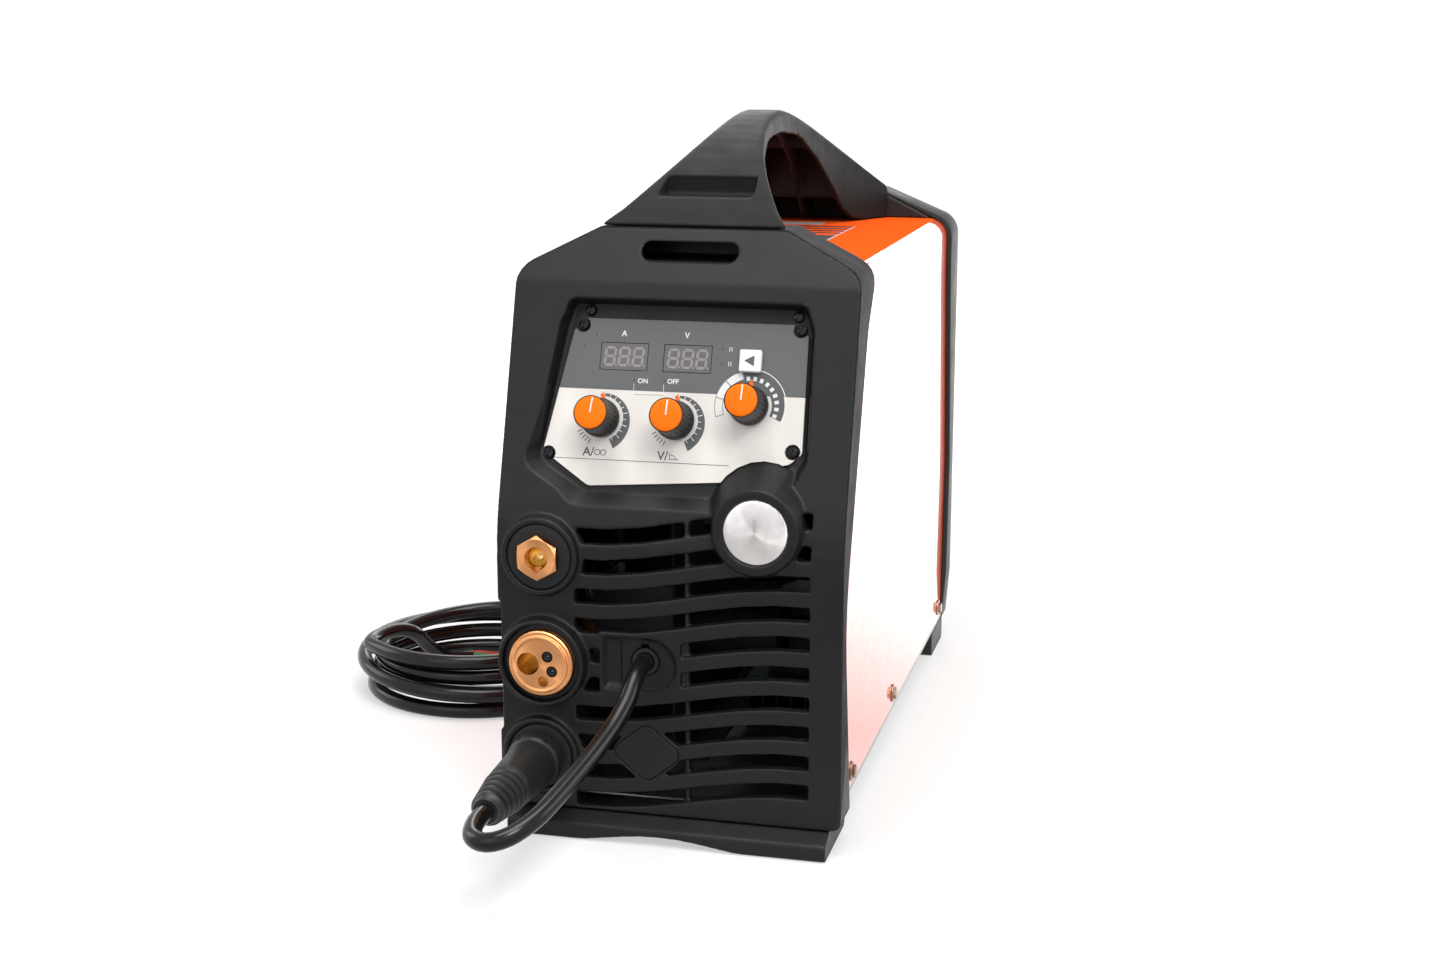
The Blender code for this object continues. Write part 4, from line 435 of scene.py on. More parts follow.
def carve(made, *cutters, operation="DIFFERENCE"):     # cuts meshes out, adds them, or keeps what they share
    for mesh in cutters:
        tool = newObject("tool", mesh)
        cut = made.modifiers.new("cut", "BOOLEAN")
        cut.operation = operation
        cut.solver = "EXACT"
        cut.object = tool
        baked(made)
        bpy.data.objects.remove(tool)
    return made


def shifted(mesh, x, y):
    mesh.transform(Matrix.Translation((x, y, 0)))
    return mesh


def joined(*meshes):
    work = bmesh.new()
    for mesh in meshes:
        work.from_mesh(mesh)
    return meshOf(work)


def slab(x0, x1, y0, y1, z0, z1):
    work = bmesh.new()
    bmesh.ops.create_cube(work, size=1)
    size = Vector((x1 - x0, y1 - y0, z1 - z0))
    middle = Vector((x0 + x1, y0 + y1, z0 + z1)) / 2
    place = Matrix.Translation(middle) @ Matrix.Diagonal((*size, 1))
    bmesh.ops.transform(work, matrix=place, verts=work.verts)
    return meshOf(work)


def sheetFrom(outline, low, high):      # a flat closed plate from an outline of (x, y)
    work = bmesh.new()
    verts = [work.verts.new((x, y, low)) for x, y in outline]
    face = work.faces.new(verts)
    lifted = bmesh.ops.extrude_face_region(work, geom=[face])
    top = [v for v in lifted["geom"] if isinstance(v, bmesh.types.BMVert)]
    bmesh.ops.translate(work, verts=top, vec=(0, 0, high - low))
    bmesh.ops.recalc_face_normals(work, faces=work.faces)
    return meshOf(work)


# Repeats grown with Geometry Nodes

def newTree(name, sizes):      # sizes are (label, socket kind, default)
    tree = bpy.data.node_groups.new(name, "GeometryNodeTree")
    tree.interface.new_socket("Geometry", in_out="INPUT", socket_type="NodeSocketGeometry")
    for label, kind, value in sizes:
        socket = tree.interface.new_socket(label, in_out="INPUT", socket_type="NodeSocket" + kind)
        if value is not None:
            socket.default_value = value
    tree.interface.new_socket("Geometry", in_out="OUTPUT", socket_type="NodeSocketGeometry")
    return tree


def closeTree(tree, given, spots, copy, turn):      # copies on the spots, made real and painted
    turnNode = addNode(tree, "ShaderNodeCombineXYZ")
    wire(tree, turn, turnNode.inputs["Z"])
    place = addNode(tree, "GeometryNodeInstanceOnPoints")
    real = addNode(tree, "GeometryNodeRealizeInstances")
    paint = addNode(tree, "GeometryNodeSetMaterial")
    for source, target in (
            (spots, place.inputs["Points"]), (copy, place.inputs["Instance"]),
            (turnNode.outputs[0], place.inputs["Rotation"]), (place.outputs[0], real.inputs[0]),
            (real.outputs[0], paint.inputs["Geometry"]), (given.outputs["Finish"], paint.inputs["Material"]),
            (paint.outputs[0], addNode(tree, "NodeGroupOutput").inputs[0])):
        wire(tree, source, target)


def makeCopiesTree():     # one master on every vertex, each turned a little by chance
    tree = newTree("copiesOnSpots", (
        ("Master", "Object", None), ("Turn", "Float", 0.0), ("Seed", "Int", 3), ("Finish", "Material", None)))
    given = addNode(tree, "NodeGroupInput")
    master = addNode(tree, "GeometryNodeObjectInfo")
    wire(tree, given.outputs["Master"], master.inputs["Object"])
    chance = addNode(tree, "FunctionNodeRandomValue")
    wire(tree, given.outputs["Seed"], chance.inputs["Seed"])
    turn = mathOn(tree, "MULTIPLY", chance.outputs[1], given.outputs["Turn"])
    closeTree(tree, given, given.outputs["Geometry"], master.outputs["Geometry"], turn)
    return tree


def makeFanTree():        # flat bars fanned round a centre
    tree = newTree("fanOfBars", (
        ("Count", "Int", 9), ("Start", "Float", 0.0), ("Sweep", "Float", 1.0), ("Radius", "Float", 0.01),
        ("Size", "Vector", (0.002, 0.0004, 0.0001)), ("Finish", "Material", None)))
    given = addNode(tree, "NodeGroupInput")
    points = addNode(tree, "GeometryNodePoints")
    index = addNode(tree, "GeometryNodeInputIndex").outputs[0]
    share = mathOn(tree, "DIVIDE", index, mathOn(tree, "SUBTRACT", given.outputs["Count"], 1))
    angle = mathOn(tree, "MULTIPLY_ADD", share, given.outputs["Sweep"], given.outputs["Start"])
    spot = addNode(tree, "ShaderNodeCombineXYZ")
    for axis, operation in (("X", "COSINE"), ("Y", "SINE")):
        part = mathOn(tree, "MULTIPLY", mathOn(tree, operation, angle), given.outputs["Radius"])
        wire(tree, part, spot.inputs[axis])
    bar = addNode(tree, "GeometryNodeMeshCube")
    for source, target in ((given.outputs["Count"], points.inputs["Count"]),
                           (spot.outputs[0], points.inputs["Position"]),
                           (given.outputs["Size"], bar.inputs["Size"])):
        wire(tree, source, target)
    closeTree(tree, given, points.outputs[0], bar.outputs["Mesh"], angle)
    return tree


def grown(name, tree, values, base=None):      # runs a tree and keeps its plain mesh
    made = newObject(name, base or bpy.data.meshes.new(name))
    grow = made.modifiers.new("grow", "NODES")
    grow.node_group = tree
    for item in tree.interface.items_tree:
        if item.in_out == "INPUT" and item.name in values:
            grow[item.identifier] = values[item.name]
    return baked(made)


def spotsMesh(spots):
    mesh = bpy.data.meshes.new("spots")
    mesh.from_pydata([tuple(spot) for spot in spots], [], [])
    return mesh


copiesTree = makeCopiesTree()
fanTree = makeFanTree()


def copiesOf(name, master, spots, place, finish, turn=0.0):     # a master mesh set on spots of a place
    tool = newObject("master", master)
    values = {"Master": tool, "Turn": turn, "Finish": finish}
    made = grown(name, copiesTree, values, spotsMesh(spots))
    bpy.data.objects.remove(tool)
    made.data.transform(place)
    return made


# The two cords come first

def smoothRoute(spots, step):
    spots = [Vector(s) for s in spots]
    line = [spots[0]]
    for n in range(len(spots) - 1):
        a, b, c, d = (spots[max(0, min(len(spots) - 1, n + k))] for k in (-1, 0, 1, 2))
        pieces = max(2, round((c - b).length / step))
        for k in range(1, pieces + 1):
            t = k / pieces
            line.append(0.5 * (2 * b + (c - a) * t + (2 * a - 5 * b + 4 * c - d) * t**2
                               + (3 * b - a - 3 * c + d) * t**3))
    return line


def cordCurve(name, line, radius):
    data = bpy.data.curves.new(name, "CURVE")
    data.dimensions = "3D"
    data.bevel_depth = radius
    data.bevel_resolution = 6
    data.use_fill_caps = True
    spline = data.splines.new("POLY")
    spline.points.add(len(line) - 1)
    for point, spot in zip(spline.points, line):
        point.co = (*spot, 1)
    return newObject(name, data)


def lengthOf(line):
    return sum((b - a).length for a, b in zip(line, line[1:]))


cord = {"radius": 0.0055, "step": 0.004}
polarityRoute = (
    (-0.0143, -0.2308, 0.1126), (-0.0143, -0.2415, 0.1126), (-0.0143, -0.2510, 0.1108),
    (-0.0146, -0.2600, 0.1055), (-0.0160, -0.2690, 0.0975), (-0.0190, -0.2830, 0.0890),
    (-0.0232, -0.3000, 0.0812), (-0.0285, -0.3180, 0.0735), (-0.0345, -0.3380, 0.0655),
    (-0.0415, -0.3570, 0.0580), (-0.0520, -0.3715, 0.0520), (-0.0640, -0.3760, 0.0490),
    (-0.0745, -0.3690, 0.0485), (-0.0795, -0.3540, 0.0490), (-0.0800, -0.3400, 0.0495),
)
plugSpot = frontFace @ Vector((-0.0800, 0.0495, spanOf("polarity_plug_boot", frontFace)[1].z))
polarityLine = smoothRoute([*polarityRoute, plugSpot], cord["step"])
polarityCord = cordCurve("polarityCord", polarityLine, cord["radius"])

coil = {
    "centre": (-0.2205, 0.028), "radius": 0.0875, "step": 0.0160, "rise": 0.0116, "floor": 0.0058,
    "layerTurns": (0.8, 0.8, 0.8, 0.45), "climb": 0.5, "points": 72,
    "tailTurn": radians(100), "tailRadius": 0.0545, "tailPoints": 30,
}
mainsRoute = (
    (-0.0150, 0.2713, 0.0600), (-0.0150, 0.2830, 0.0600), (-0.0156, 0.2960, 0.0574),
    (-0.0195, 0.3140, 0.0480), (-0.0300, 0.3330, 0.0310), (-0.0490, 0.3450, 0.0150),
    (-0.0720, 0.3420, 0.0070), (-0.0950, 0.3240, 0.0058), (-0.1110, 0.2950, 0.0058),
    (-0.1195, 0.2600, 0.0058), (-0.1245, 0.2200, 0.0058), (-0.1285, 0.1700, 0.0058),
    (-0.1312, 0.1200, 0.0058), (-0.1328, 0.0800, 0.0058), (-0.1330, 0.0550, 0.0058),
)


def coilSpot(angle, radius, height):
    return Vector((coil["centre"][0] + radius * cos(angle), coil["centre"][1] + radius * sin(angle), height))


def coilTurns():
    turns = []
    angle, radius, height, inward = 0.0, coil["radius"], coil["floor"], True
    for layer, count in enumerate(coil["layerTurns"]):
        if layer:
            steps = round(coil["climb"] * coil["points"])
            for n in range(steps):
                ease = (1 - cos(pi * n / steps)) / 2
                onward = 2 * pi * coil["climb"] * n / steps
                turns.append((angle - onward, radius, height + coil["rise"] * ease))
            angle -= 2 * pi * coil["climb"]
            height += coil["rise"]
        steps = round(count * coil["points"])
        change = coil["step"] * count * (-1 if inward else 1)
        for n in range(steps):
            turns.append((angle - 2 * pi * count * n / steps, radius + change * n / steps, height))
        angle -= 2 * pi * count
        radius += change
        inward = not inward
    turns.append((angle, radius, height))
    return turns


def coilTail(turns):
    angle, radius, height = turns[-1]
    ahead = Vector((sin(angle), -cos(angle), 0))
    last = coilSpot(angle, radius, height) + ahead * 4 * cord["radius"]
    offset = last - Vector((*coil["centre"], height))
    startAngle = angle - (angle - Vector((offset.x, offset.y)).angle_signed(Vector((1, 0)))) % (2 * pi)
    startRadius = hypot(offset.x, offset.y)
    line = [last]
    for n in range(1, coil["tailPoints"] + 1):
        t = n / coil["tailPoints"]
        inward = min(1.0, t / 0.45)
        drop = min(1.0, max(0.0, (t - 0.25) / 0.60))
        r = startRadius + (coil["tailRadius"] - startRadius) * (3 * inward**2 - 2 * inward**3)
        z = height + (coil["floor"] - height) * (3 * drop**2 - 2 * drop**3)
        line.append(coilSpot(startAngle - coil["tailTurn"] * t, r, z))
    return line


turns = coilTurns()
coilLine = [coilSpot(*turn) for turn in turns]
tailLine = coilTail(turns)
mainsLine = smoothRoute([*mainsRoute, coilLine[0] + Vector((0, 2 * cord["radius"], 0))], 0.008)
mainsLine += coilLine + tailLine
mainsCord = cordCurve("mainsCord", mainsLine, cord["radius"])

cores = {"radius": 0.0016, "length": 0.030, "aside": 0.0031, "spread": 0.006, "root": 0.004, "strand": 0.005}
coreFinishes = (
    ("Earth", cordSheath("coreGreen", (0.02, 0.16, 0.05), 0.35)),
    ("Live", cordSheath("coreBrown", (0.20, 0.045, 0.02), 0.35)),
    ("Neutral", cordSheath("coreRed", (0.42, 0.05, 0.03), 0.35)),
)
heading = (tailLine[-1] - tailLine[-2]).normalized()
across = Vector((-heading.y, heading.x, 0))
coreRoot = tailLine[-1]
corePieces = []
for n, (label, finish) in zip((-1, 0, 1), coreFinishes):
    aside = across * (n * cores["aside"])
    spreadOut = across * ((n - 1) * cores["spread"])
    fall = Vector((0, 0, cores["radius"] + 0.0004 - coil["floor"]))
    run = heading * cores["length"]
    line = smoothRoute([
        coreRoot + aside - heading * cores["root"],
        coreRoot + aside + run * 0.2,
        coreRoot + aside + spreadOut * 0.5 + run * 0.6 + fall * 0.6,
        coreRoot + aside + spreadOut + run + fall,
    ], 0.002)
    core = cordCurve("mainsCore" + label, line, cores["radius"])
    settle(core, finish, "case", slot="core_insulation")
    bare = [line[-1], line[-1] + heading * cores["strand"]]
    strand = cordCurve("mainsStrand" + label, bare, cores["radius"] * 0.7)
    settle(strand, copperWire, "case", slot="core_insulation")
    corePieces += [core, strand]
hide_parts("mains_cores")
settle(polarityCord, cordBlack, "case", "polarity_lead")
settle(mainsCord, cordBlack, "case", "mains_lead", "mains_coil", "mains_tail")
print("cords laid:", round(lengthOf(polarityLine), 3), round(lengthOf(mainsLine), 3))


# Floor, background and lamps

studio = {
    "floorHalf": 9.0,
    "floorDrop": -0.0002,
    "floorTone": (0.55, 0.55, 0.55, 1),
    "floorSeen": (0.42, 0.415, 0.41, 1),
    "floorGlow": 0.53,
    "glowRun": (0.55, 1.25),
    "floorFront": (-0.65, -0.25, 0.06),   # gloss sees the floor fade towards the camera
    "skyDrop": (0.03, 0.16, 0.80),      # the sky in gloss: heights it fades between, its level above
    "skyFront": (-0.5, 0.2, 1.5),      # and its level on the camera's side
    "skyLight": 0.30,
    "lamps": (
        # name, place, size, watts
        ("keyLamp", (1.0, -1.5, 1.9), 0.8, 28),
        ("fillLamp", (-0.75, -1.95, 1.25), 1.2, 5),
        ("topLamp", (0.0, -0.45, 2.1), 1.2, 32),
        ("sideLamp", (2.2, 0.2, 1.0), 1.2, 13),
        ("leftLamp", (-2.2, 0.3, 1.1), 1.2, 11),
        ("rearLamp", (-0.5, 1.9, 1.3), 1.2, 14),
    ),
    "aim": (0, 0, 0.2),
}


def emptyFinish(name):
    finish = bpy.data.materials.new(name)
    finish.use_nodes = True
    finish.node_tree.nodes.clear()
    return finish


def rayKind(holder, *kinds):       # 1 for camera rays, and for rays of these kinds
    rays = addNode(holder, "ShaderNodeLightPath")
    result = rays.outputs["Is Camera Ray"]
    for kind in kinds:
        result = mathOn(holder, "MAXIMUM", result, rays.outputs["Is %s Ray" % kind])
    return result


def wireUp(holder, target, *sources):
    for socket, source in zip(target.inputs, sources):
        wire(holder, source, socket)
    return target.outputs[0]


def makeFloor():
    work = bmesh.new()
    bmesh.ops.create_grid(work, x_segments=1, y_segments=1, size=studio["floorHalf"])
    floor = newObject("studioFloor", meshOf(work))
    floor.location.z = studio["floorDrop"]
    finish = emptyFinish("studioFloor")
    spots = addNode(finish, "ShaderNodeTexCoord").outputs["Object"]
    away = addNode(finish, "ShaderNodeVectorMath", operation="LENGTH")
    parts = addNode(finish, "ShaderNodeSeparateXYZ")
    wireUp(finish, away, spots)
    wireUp(finish, parts, spots)
    near, past, dim = studio["floorFront"]
    front = spread(finish, parts.outputs["Y"], dim, 1.0, near, past)
    shown = mathOn(finish, "MAXIMUM", rayKind(finish), front)
    around = spread(finish, away.outputs["Value"], studio["floorGlow"], 1.0, *studio["glowRun"])
    glow = addNode(finish, "ShaderNodeEmission")
    wire(finish, mathOn(finish, "MULTIPLY", around, shown), glow.inputs["Strength"])
    plain, faint = [addNode(finish, "ShaderNodeBsdfDiffuse", {"Color": studio[tone]}).outputs[0]
                    for tone in ("floorTone", "floorSeen")]
    bright = wireUp(finish, addNode(finish, "ShaderNodeAddShader"), faint, glow.outputs[0])
    seen = rayKind(finish, "Glossy", "Transmission")
    mix = wireUp(finish, addNode(finish, "ShaderNodeMixShader"), seen, plain, bright)
    wire(finish, mix, addNode(finish, "ShaderNodeOutputMaterial").inputs["Surface"])
    floor.data.materials.append(finish)


def makeSky():
    world = bpy.data.worlds.new("studioSky")
    world.use_nodes = True
    bpy.context.scene.world = world
    back = world.node_tree.nodes["Background"]
    back.inputs["Color"].default_value = (1, 1, 1, 1)
    low, high, dim = studio["skyDrop"]
    near, past, front = studio["skyFront"]
    split = addNode(world, "ShaderNodeSeparateXYZ")
    wireUp(world, split, addNode(world, "ShaderNodeTexCoord").outputs["Generated"])
    gloss = mathOn(world, "MULTIPLY", spread(world, split.outputs["Z"], 1.0, dim, low, high),
                   spread(world, split.outputs["Y"], front, 1.0, near, past))
    level = addNode(world, "ShaderNodeMix", {2: studio["skyLight"]})
    wire(world, rayKind(world, "Glossy", "Transmission"), level.inputs[0])
    wire(world, mathOn(world, "MAXIMUM", rayKind(world), gloss), level.inputs[3])
    wire(world, level.outputs[0], back.inputs["Strength"])


def makeLamps():
    for name, spot, size, watts in studio["lamps"]:
        data = bpy.data.lights.new(name, "AREA")
        data.size = size
        data.energy = watts
        lamp = bpy.data.objects.new(name, data)
        bpy.context.scene.collection.objects.link(lamp)
        lamp.location = spot
        lamp.rotation_euler = (Vector(studio["aim"]) - Vector(spot)).to_track_quat("-Z", "Y").to_euler()
        lamp.visible_camera = False


shine = {
    "side": 0.104,                # the cover's side, where the sweep starts
    "near": -0.30,
    "far": 6.0,
    "width": 1.4,
    "low": 0.0006,
    "levels": (1.15, 3.2),
    "run": (0.0, 0.8),
    "wall": (-0.30, 3.0, 1.6),    # left, right and height of the lit wall at the far end
}


def stageCard(name, corners, finish):      # seen by gloss alone
    work = bmesh.new()
    work.faces.new([work.verts.new(corner) for corner in corners])
    card = newObject(name, meshOf(work))
    card.data.materials.append(finish)
    for ray in ("camera", "diffuse", "transmission", "volume_scatter", "shadow"):
        setattr(card, "visible_" + ray, False)


def makeShineCards():      # the lit sweep that the cover's side mirrors
    finish = emptyFinish("shineCard")
    parts = addNode(finish, "ShaderNodeSeparateXYZ")
    wireUp(finish, parts, addNode(finish, "ShaderNodeTexCoord").outputs["Object"])
    glow = addNode(finish, "ShaderNodeEmission")
    wire(finish, spread(finish, parts.outputs["Y"], *shine["levels"], *shine["run"]), glow.inputs["Strength"])
    wire(finish, glow.outputs[0], addNode(finish, "ShaderNodeOutputMaterial").inputs["Surface"])
    side, near, far, width, low = [shine[key] for key in ("side", "near", "far", "width", "low")]
    stageCard("shineCard", [(side, near, low), (side + width, near, low), (side + 2 * width, far, low),
                            (side, far, low)], finish)
    left, right, height = shine["wall"]
    stageCard("shineWall", [(left, far, low), (right, far, low), (right, far, height), (left, far, height)],
              finish)


makeFloor()
makeSky()
makeLamps()
makeShineCards()
print("studio lit")


# Big mouldings and sheet metal

rim = {
    "proud": 0.0040, "gap": 0.0003, "half": 0.1035, "turn": (0.0895, 0.3305), "radius": 0.014, "slope": 63.4,
    "heights": (0.028, 0.06, 0.10, 0.142, 0.15, 0.158, 0.2, 0.25, 0.29, 0.30, 0.31), "crown": 0.0513,
    "ends": (0.4, 0.15), "seam": ((0, 0.207), (0.150, 0.2155), (0.300, 0.196), (0.4, 0.196)),
    "rear": 0.2345, "ease": 0.0007,
}


def seamAt(height):        # how far back the rear panel starts at a height
    for (low, first), (high, last) in zip(rim["seam"], rim["seam"][1:]):
        if height <= high:
            return first + (last - first) * (height - low) / (high - low)


def makeRim():             # the raised rim of the rear panel, along the cover's edge
    run = [(Vector((rim["half"], z)), Vector((1, 0)), 1.0) for z in rim["heights"]]
    for n in range(9):
        angle = radians(rim["slope"] * n / 8)
        out = Vector((cos(angle), sin(angle)))
        run.append((Vector(rim["turn"]) + rim["radius"] * out, out, 1.0))
    last, along = run[-1][0], Vector((-out.y, out.x))
    length = (rim["crown"] - last.x) / along.x
    low, high = rim["ends"]
    run += [(last + along * length * t, out, 1 - (1 - high) * t) for t in (0.25, 0.5, 0.75, 1.0)]
    run[0] = (*run[0][:2], low)
    work = bmesh.new()
    for side in (-1, 1):
        rows = []
        for spot, out, share in run:
            front, rear, ease, proud = seamAt(spot.y), rim["rear"], rim["ease"], rim["proud"] * share
            ring = [(rim["gap"], front), (proud - ease, front), (proud - ease * 0.3, front + ease * 0.3),
                    (proud, front + ease), (proud, rear - 2 * ease), (proud - 2 * ease, rear),
                    (rim["gap"], rear)]
            spots = [(spot + out * max(rim["gap"], away), y) for away, y in ring]
            rows.append([work.verts.new((side * at.x, y, at.y)) for at, y in spots])
        for first, second in zip(rows, rows[1:]):
            for n in range(len(first)):
                m = (n + 1) % len(first)
                work.faces.new((first[n], first[m], second[m], second[n]))
        work.faces.new(rows[0])
        work.faces.new(rows[-1])
    bmesh.ops.remove_doubles(work, verts=work.verts, dist=0.000001)
    bmesh.ops.recalc_face_normals(work, faces=work.faces)
    settle(smoothed(newObject("rearRim", meshOf(work)), 40), darkPlastic, "case", slot=slotOf["rear_panel"])


def paintShadeInside(made, reach):       # painted shade: faces that look at the piece itself are painted black
    made.data.materials.append(innerBlack)
    work = bmesh.new()
    work.from_mesh(made.data)
    finder = BVHTree.FromBMesh(work)
    work.free()
    for face in made.data.polygons:
        if finder.ray_cast(face.center + 0.0008 * face.normal, face.normal, reach)[0]:
            face.material_index = 1


band = {"lean": 0.6, "side": 0.095, "top": 0.335, "middle": 0.2}      # the bezel's outer band, given a duller copy of the plastic: painted shade
sheet = {"inside": -0.2, "roof": 0.97, "middle": 0.17}
mouldings = {      # finish, voxel, smoothing passes and share of faces kept
    "front_bezel": (charcoal, 0.0009, 4, 0.30),
    "handle": (handlePlastic, 0.0010, 5, 0.35),
    "front_foot": (charcoal, 0.0010, 4, 0.4),
    "rear_panel": (darkPlastic, 0.0010, 3, 0.35),
    "rear_foot": (darkPlastic, 0.0012, 4, 0.4),
}
handleReach = 0.07

moulded = {node: softened(node, *values) for node, values in mouldings.items()}
bezel = moulded["front_bezel"]
# Painted shade: the outward faces of the bezel's outer band get the duller copy of the plastic
bezel.data.materials.append(flankPlastic)
for face in bezel.data.polygons:
    outward = Vector((face.center.x, 0, face.center.z - band["middle"])).normalized()
    outermost = abs(face.center.x) > band["side"] or face.center.z > band["top"]
    if outermost and outward.dot(face.normal) > band["lean"]:
        face.material_index = 1
# Painted shade: the handle's faces that look at the handle itself are painted black
paintShadeInside(moulded["handle"], handleReach)
makeRim()
refined("blank_cover", charcoal, 0.0006)
for sheetNode in ("top_cover", "side_door"):
    sheetPiece = refined(sheetNode, orangePaint)
    sheetPiece.data.materials.append(innerBlack)
    sheetPiece.data.materials.append(orangeRoof)
    for face in sheetPiece.data.polygons:
        outward = Vector((face.center.x, 0, face.center.z - sheet["middle"]))
        # Painted shade: the sheets' inward faces are painted black
        if outward.normalized().dot(face.normal) < sheet["inside"]:
            face.material_index = 1
        # Painted shade: roof faces get the copy of the paint with no coat or sheen
        elif face.normal.z > sheet["roof"]:
            face.material_index = 2
print("shell dressed")


# Control film, its prints and the displays

filmTop = spanOf("control_overlay", panelFace)[1].z
ink = {"sink": 0.00002, "lift": 0.00005, "weight": 0.00010, "line": 0.0004}
prints = {"white": [], "grey": [], "line": [], "dark": [], "orange": []}
display = {
    "height": 0.0106, "width": 0.0058, "bar": 0.00155, "pitch": 0.0088, "slant": 0.07, "digits": 3,
    "places": ((-0.0371, 0.0329), (0.0025, 0.0329)),       # where the board's display blocks are
    "window": (0.0146, 0.0081), "sill": filmTop - 0.00046, "face": filmTop - 0.00012,
    "print": (-0.00002, 0.00004), "dot": (0.0011, 0.00065),
}
knobSpots = {name: middleOf(name + "_knob", panelFace).to_2d() for name in ("current", "voltage", "mode")}


def ribbon(left, right, low, high):      # a flat closed strip between two lines of (x, y)
    work = bmesh.new()
    rows = [[work.verts.new((*spot, z)) for z in (low, high) for spot in pair] for pair in zip(left, right)]
    for a, b in zip(rows, rows[1:]):
        work.faces.new((a[2], a[3], b[3], b[2]))
        work.faces.new((a[0], b[0], b[1], a[1]))
        work.faces.new((a[0], a[2], b[2], b[0]))
        work.faces.new((a[1], b[1], b[3], a[3]))
    for row in (rows[0], rows[-1]):
        work.faces.new((row[0], row[1], row[3], row[2]))
    bmesh.ops.recalc_face_normals(work, faces=work.faces)
    return meshOf(work)


def arcLine(middle, first, last, start, end, steps=40):     # radius and angle both run from first to last
    line = []
    for n in range(steps + 1):
        t = n / steps
        radius, angle = first + (last - first) * t, radians(start + (end - start) * t)
        line.append((middle[0] + radius * cos(angle), middle[1] + radius * sin(angle)))
    return line


def inked(left, right, level=0):      # level lifts a print that lies on another print
    top = filmTop + ink["lift"] * (level + 1)
    return ribbon(left, right, filmTop - ink["sink"], top)


def inkBar(a, b, width, level=0):
    a, b = Vector(a), Vector(b)
    side = Vector((a.y - b.y, b.x - a.x)).normalized() * width / 2
    return inked([a + side, b + side], [a - side, b - side], level)


def inkArc(middle, inner, outer, start, end):      # each radius is one number, or a first and a last
    inner, outer = [edge if isinstance(edge, tuple) else (edge, edge) for edge in (inner, outer)]
    return inked(arcLine(middle, *inner, start, end), arcLine(middle, *outer, start, end))


def stamp(tone, *meshes):
    prints[tone].extend(meshes)


def lettering(words, height, spot):       # capital height in metres, centred on the spot
    data = bpy.data.curves.new("letters", "FONT")
    data.body = words
    data.align_x = "CENTER"
    data.align_y = "CENTER"
    data.size = height / 0.69
    data.resolution_u = 3
    data.offset = ink["weight"]
    data.extrude = (ink["sink"] + ink["lift"]) / 2
    made = newObject("letters", data)
    bpy.context.view_layer.update()
    mesh = bpy.data.meshes.new_from_object(made.evaluated_get(bpy.context.evaluated_depsgraph_get()))
    bpy.data.objects.remove(made)
    mesh.transform(Matrix.Translation((*spot, filmTop + (ink["lift"] - ink["sink"]) / 2)))
    return mesh


scale = {
    "sweep": (96, -64),             # degrees, from the thin end round to the thick end
    "inner": 0.0137,
    "outer": (0.0150, 0.0200),
    "foot": (212, 246, 5),          # small marks at the low end
    "ticks": 11,
    "tickFrom": 86,
    "tickTo": -58,
    "tickSize": (0.0019, 0.00042),
    "longTick": (0.0030, 0.00055),
    "arrow": (0.0020, 0.0118, 0.0165),    # half width, foot and tip
}


def fanned(tone, spot, count, start, sweep, inner, size):      # printed bars fanned round a knob
    thick = 2 * ink["lift"] + ink["sink"]
    values = {"Count": count, "Start": start, "Sweep": sweep, "Radius": inner + size[0] / 2,
              "Size": (*size, thick), "Finish": whiteInk}
    fan = grown("fan", fanTree, values)
    fan.data.transform(Matrix.Translation((*spot, filmTop + thick / 2 - ink["sink"])))
    stamp(tone, fan.data)
    bpy.data.objects.remove(fan)


def knobScale(spot):       # tapered dark band with pale ticks, and marks at its low end
    stamp("grey", inkArc(spot, scale["inner"], scale["outer"], *scale["sweep"]))
    start, span = radians(scale["tickFrom"]), radians(scale["tickTo"] - scale["tickFrom"])
    first, last, feet = scale["foot"]
    for tone, count, begin, sweep, size in (
            ("white", scale["ticks"], start, span, "tickSize"),
            ("white", 3, start + span * 0.5, span * 0.4, "longTick"),
            ("grey", feet, radians(first), radians(last - first), "longTick")):
        fanned(tone, spot, count, begin, sweep, scale["inner"], scale[size])


def knobArrow(spot):
    half, foot, tip = scale["arrow"]
    x, y = spot
    outline = [(x - half, y + foot), (x + half, y + foot), (x, y + tip)]
    stamp("orange", sheetFrom(outline, filmTop - ink["sink"], filmTop + 2.5 * ink["lift"]))


ring = {"inner": 0.0163, "outer": 0.0212, "left": (200, 168, 137, 106), "right": (104, -24), "rim": 0.0219,
        "cells": 9, "cellInner": 0.0152, "cellSize": (0.0026, 0.0021), "edge": 0.00045, "band": 0.0135,
        "rimWidth": 0.0005, "filled": 170}


def modeRing(spot):        # three empty fields on the left, a dark band with pale cells on the right
    fields, (start, end) = ring["left"], ring["right"]
    inner, outer, edge = ring["inner"], ring["outer"], ring["edge"]
    for radius in (inner, outer):
        stamp("line", inkArc(spot, radius, radius + edge, fields[0], fields[-1]))
    for angle in fields:
        way = Vector((cos(radians(angle)), sin(radians(angle))))
        ends = [Vector(spot) + r * way for r in (inner, outer + edge)]
        stamp("line", inkBar(*ends, edge, 1))
    upper = [angle for angle in fields if angle <= ring["filled"]]
    for first, last in zip(upper, upper[1:]):
        stamp("white", inkArc(spot, inner + edge, outer, first - 1, last + 1))
    stamp("grey", inkArc(spot, ring["band"], outer, start, end))
    stamp("white", inkArc(spot, ring["rim"], ring["rim"] + ring["rimWidth"], start, end))
    fanned("white", spot, ring["cells"], radians(start - 7), radians(end - start + 12), ring["cellInner"],
           ring["cellSize"])


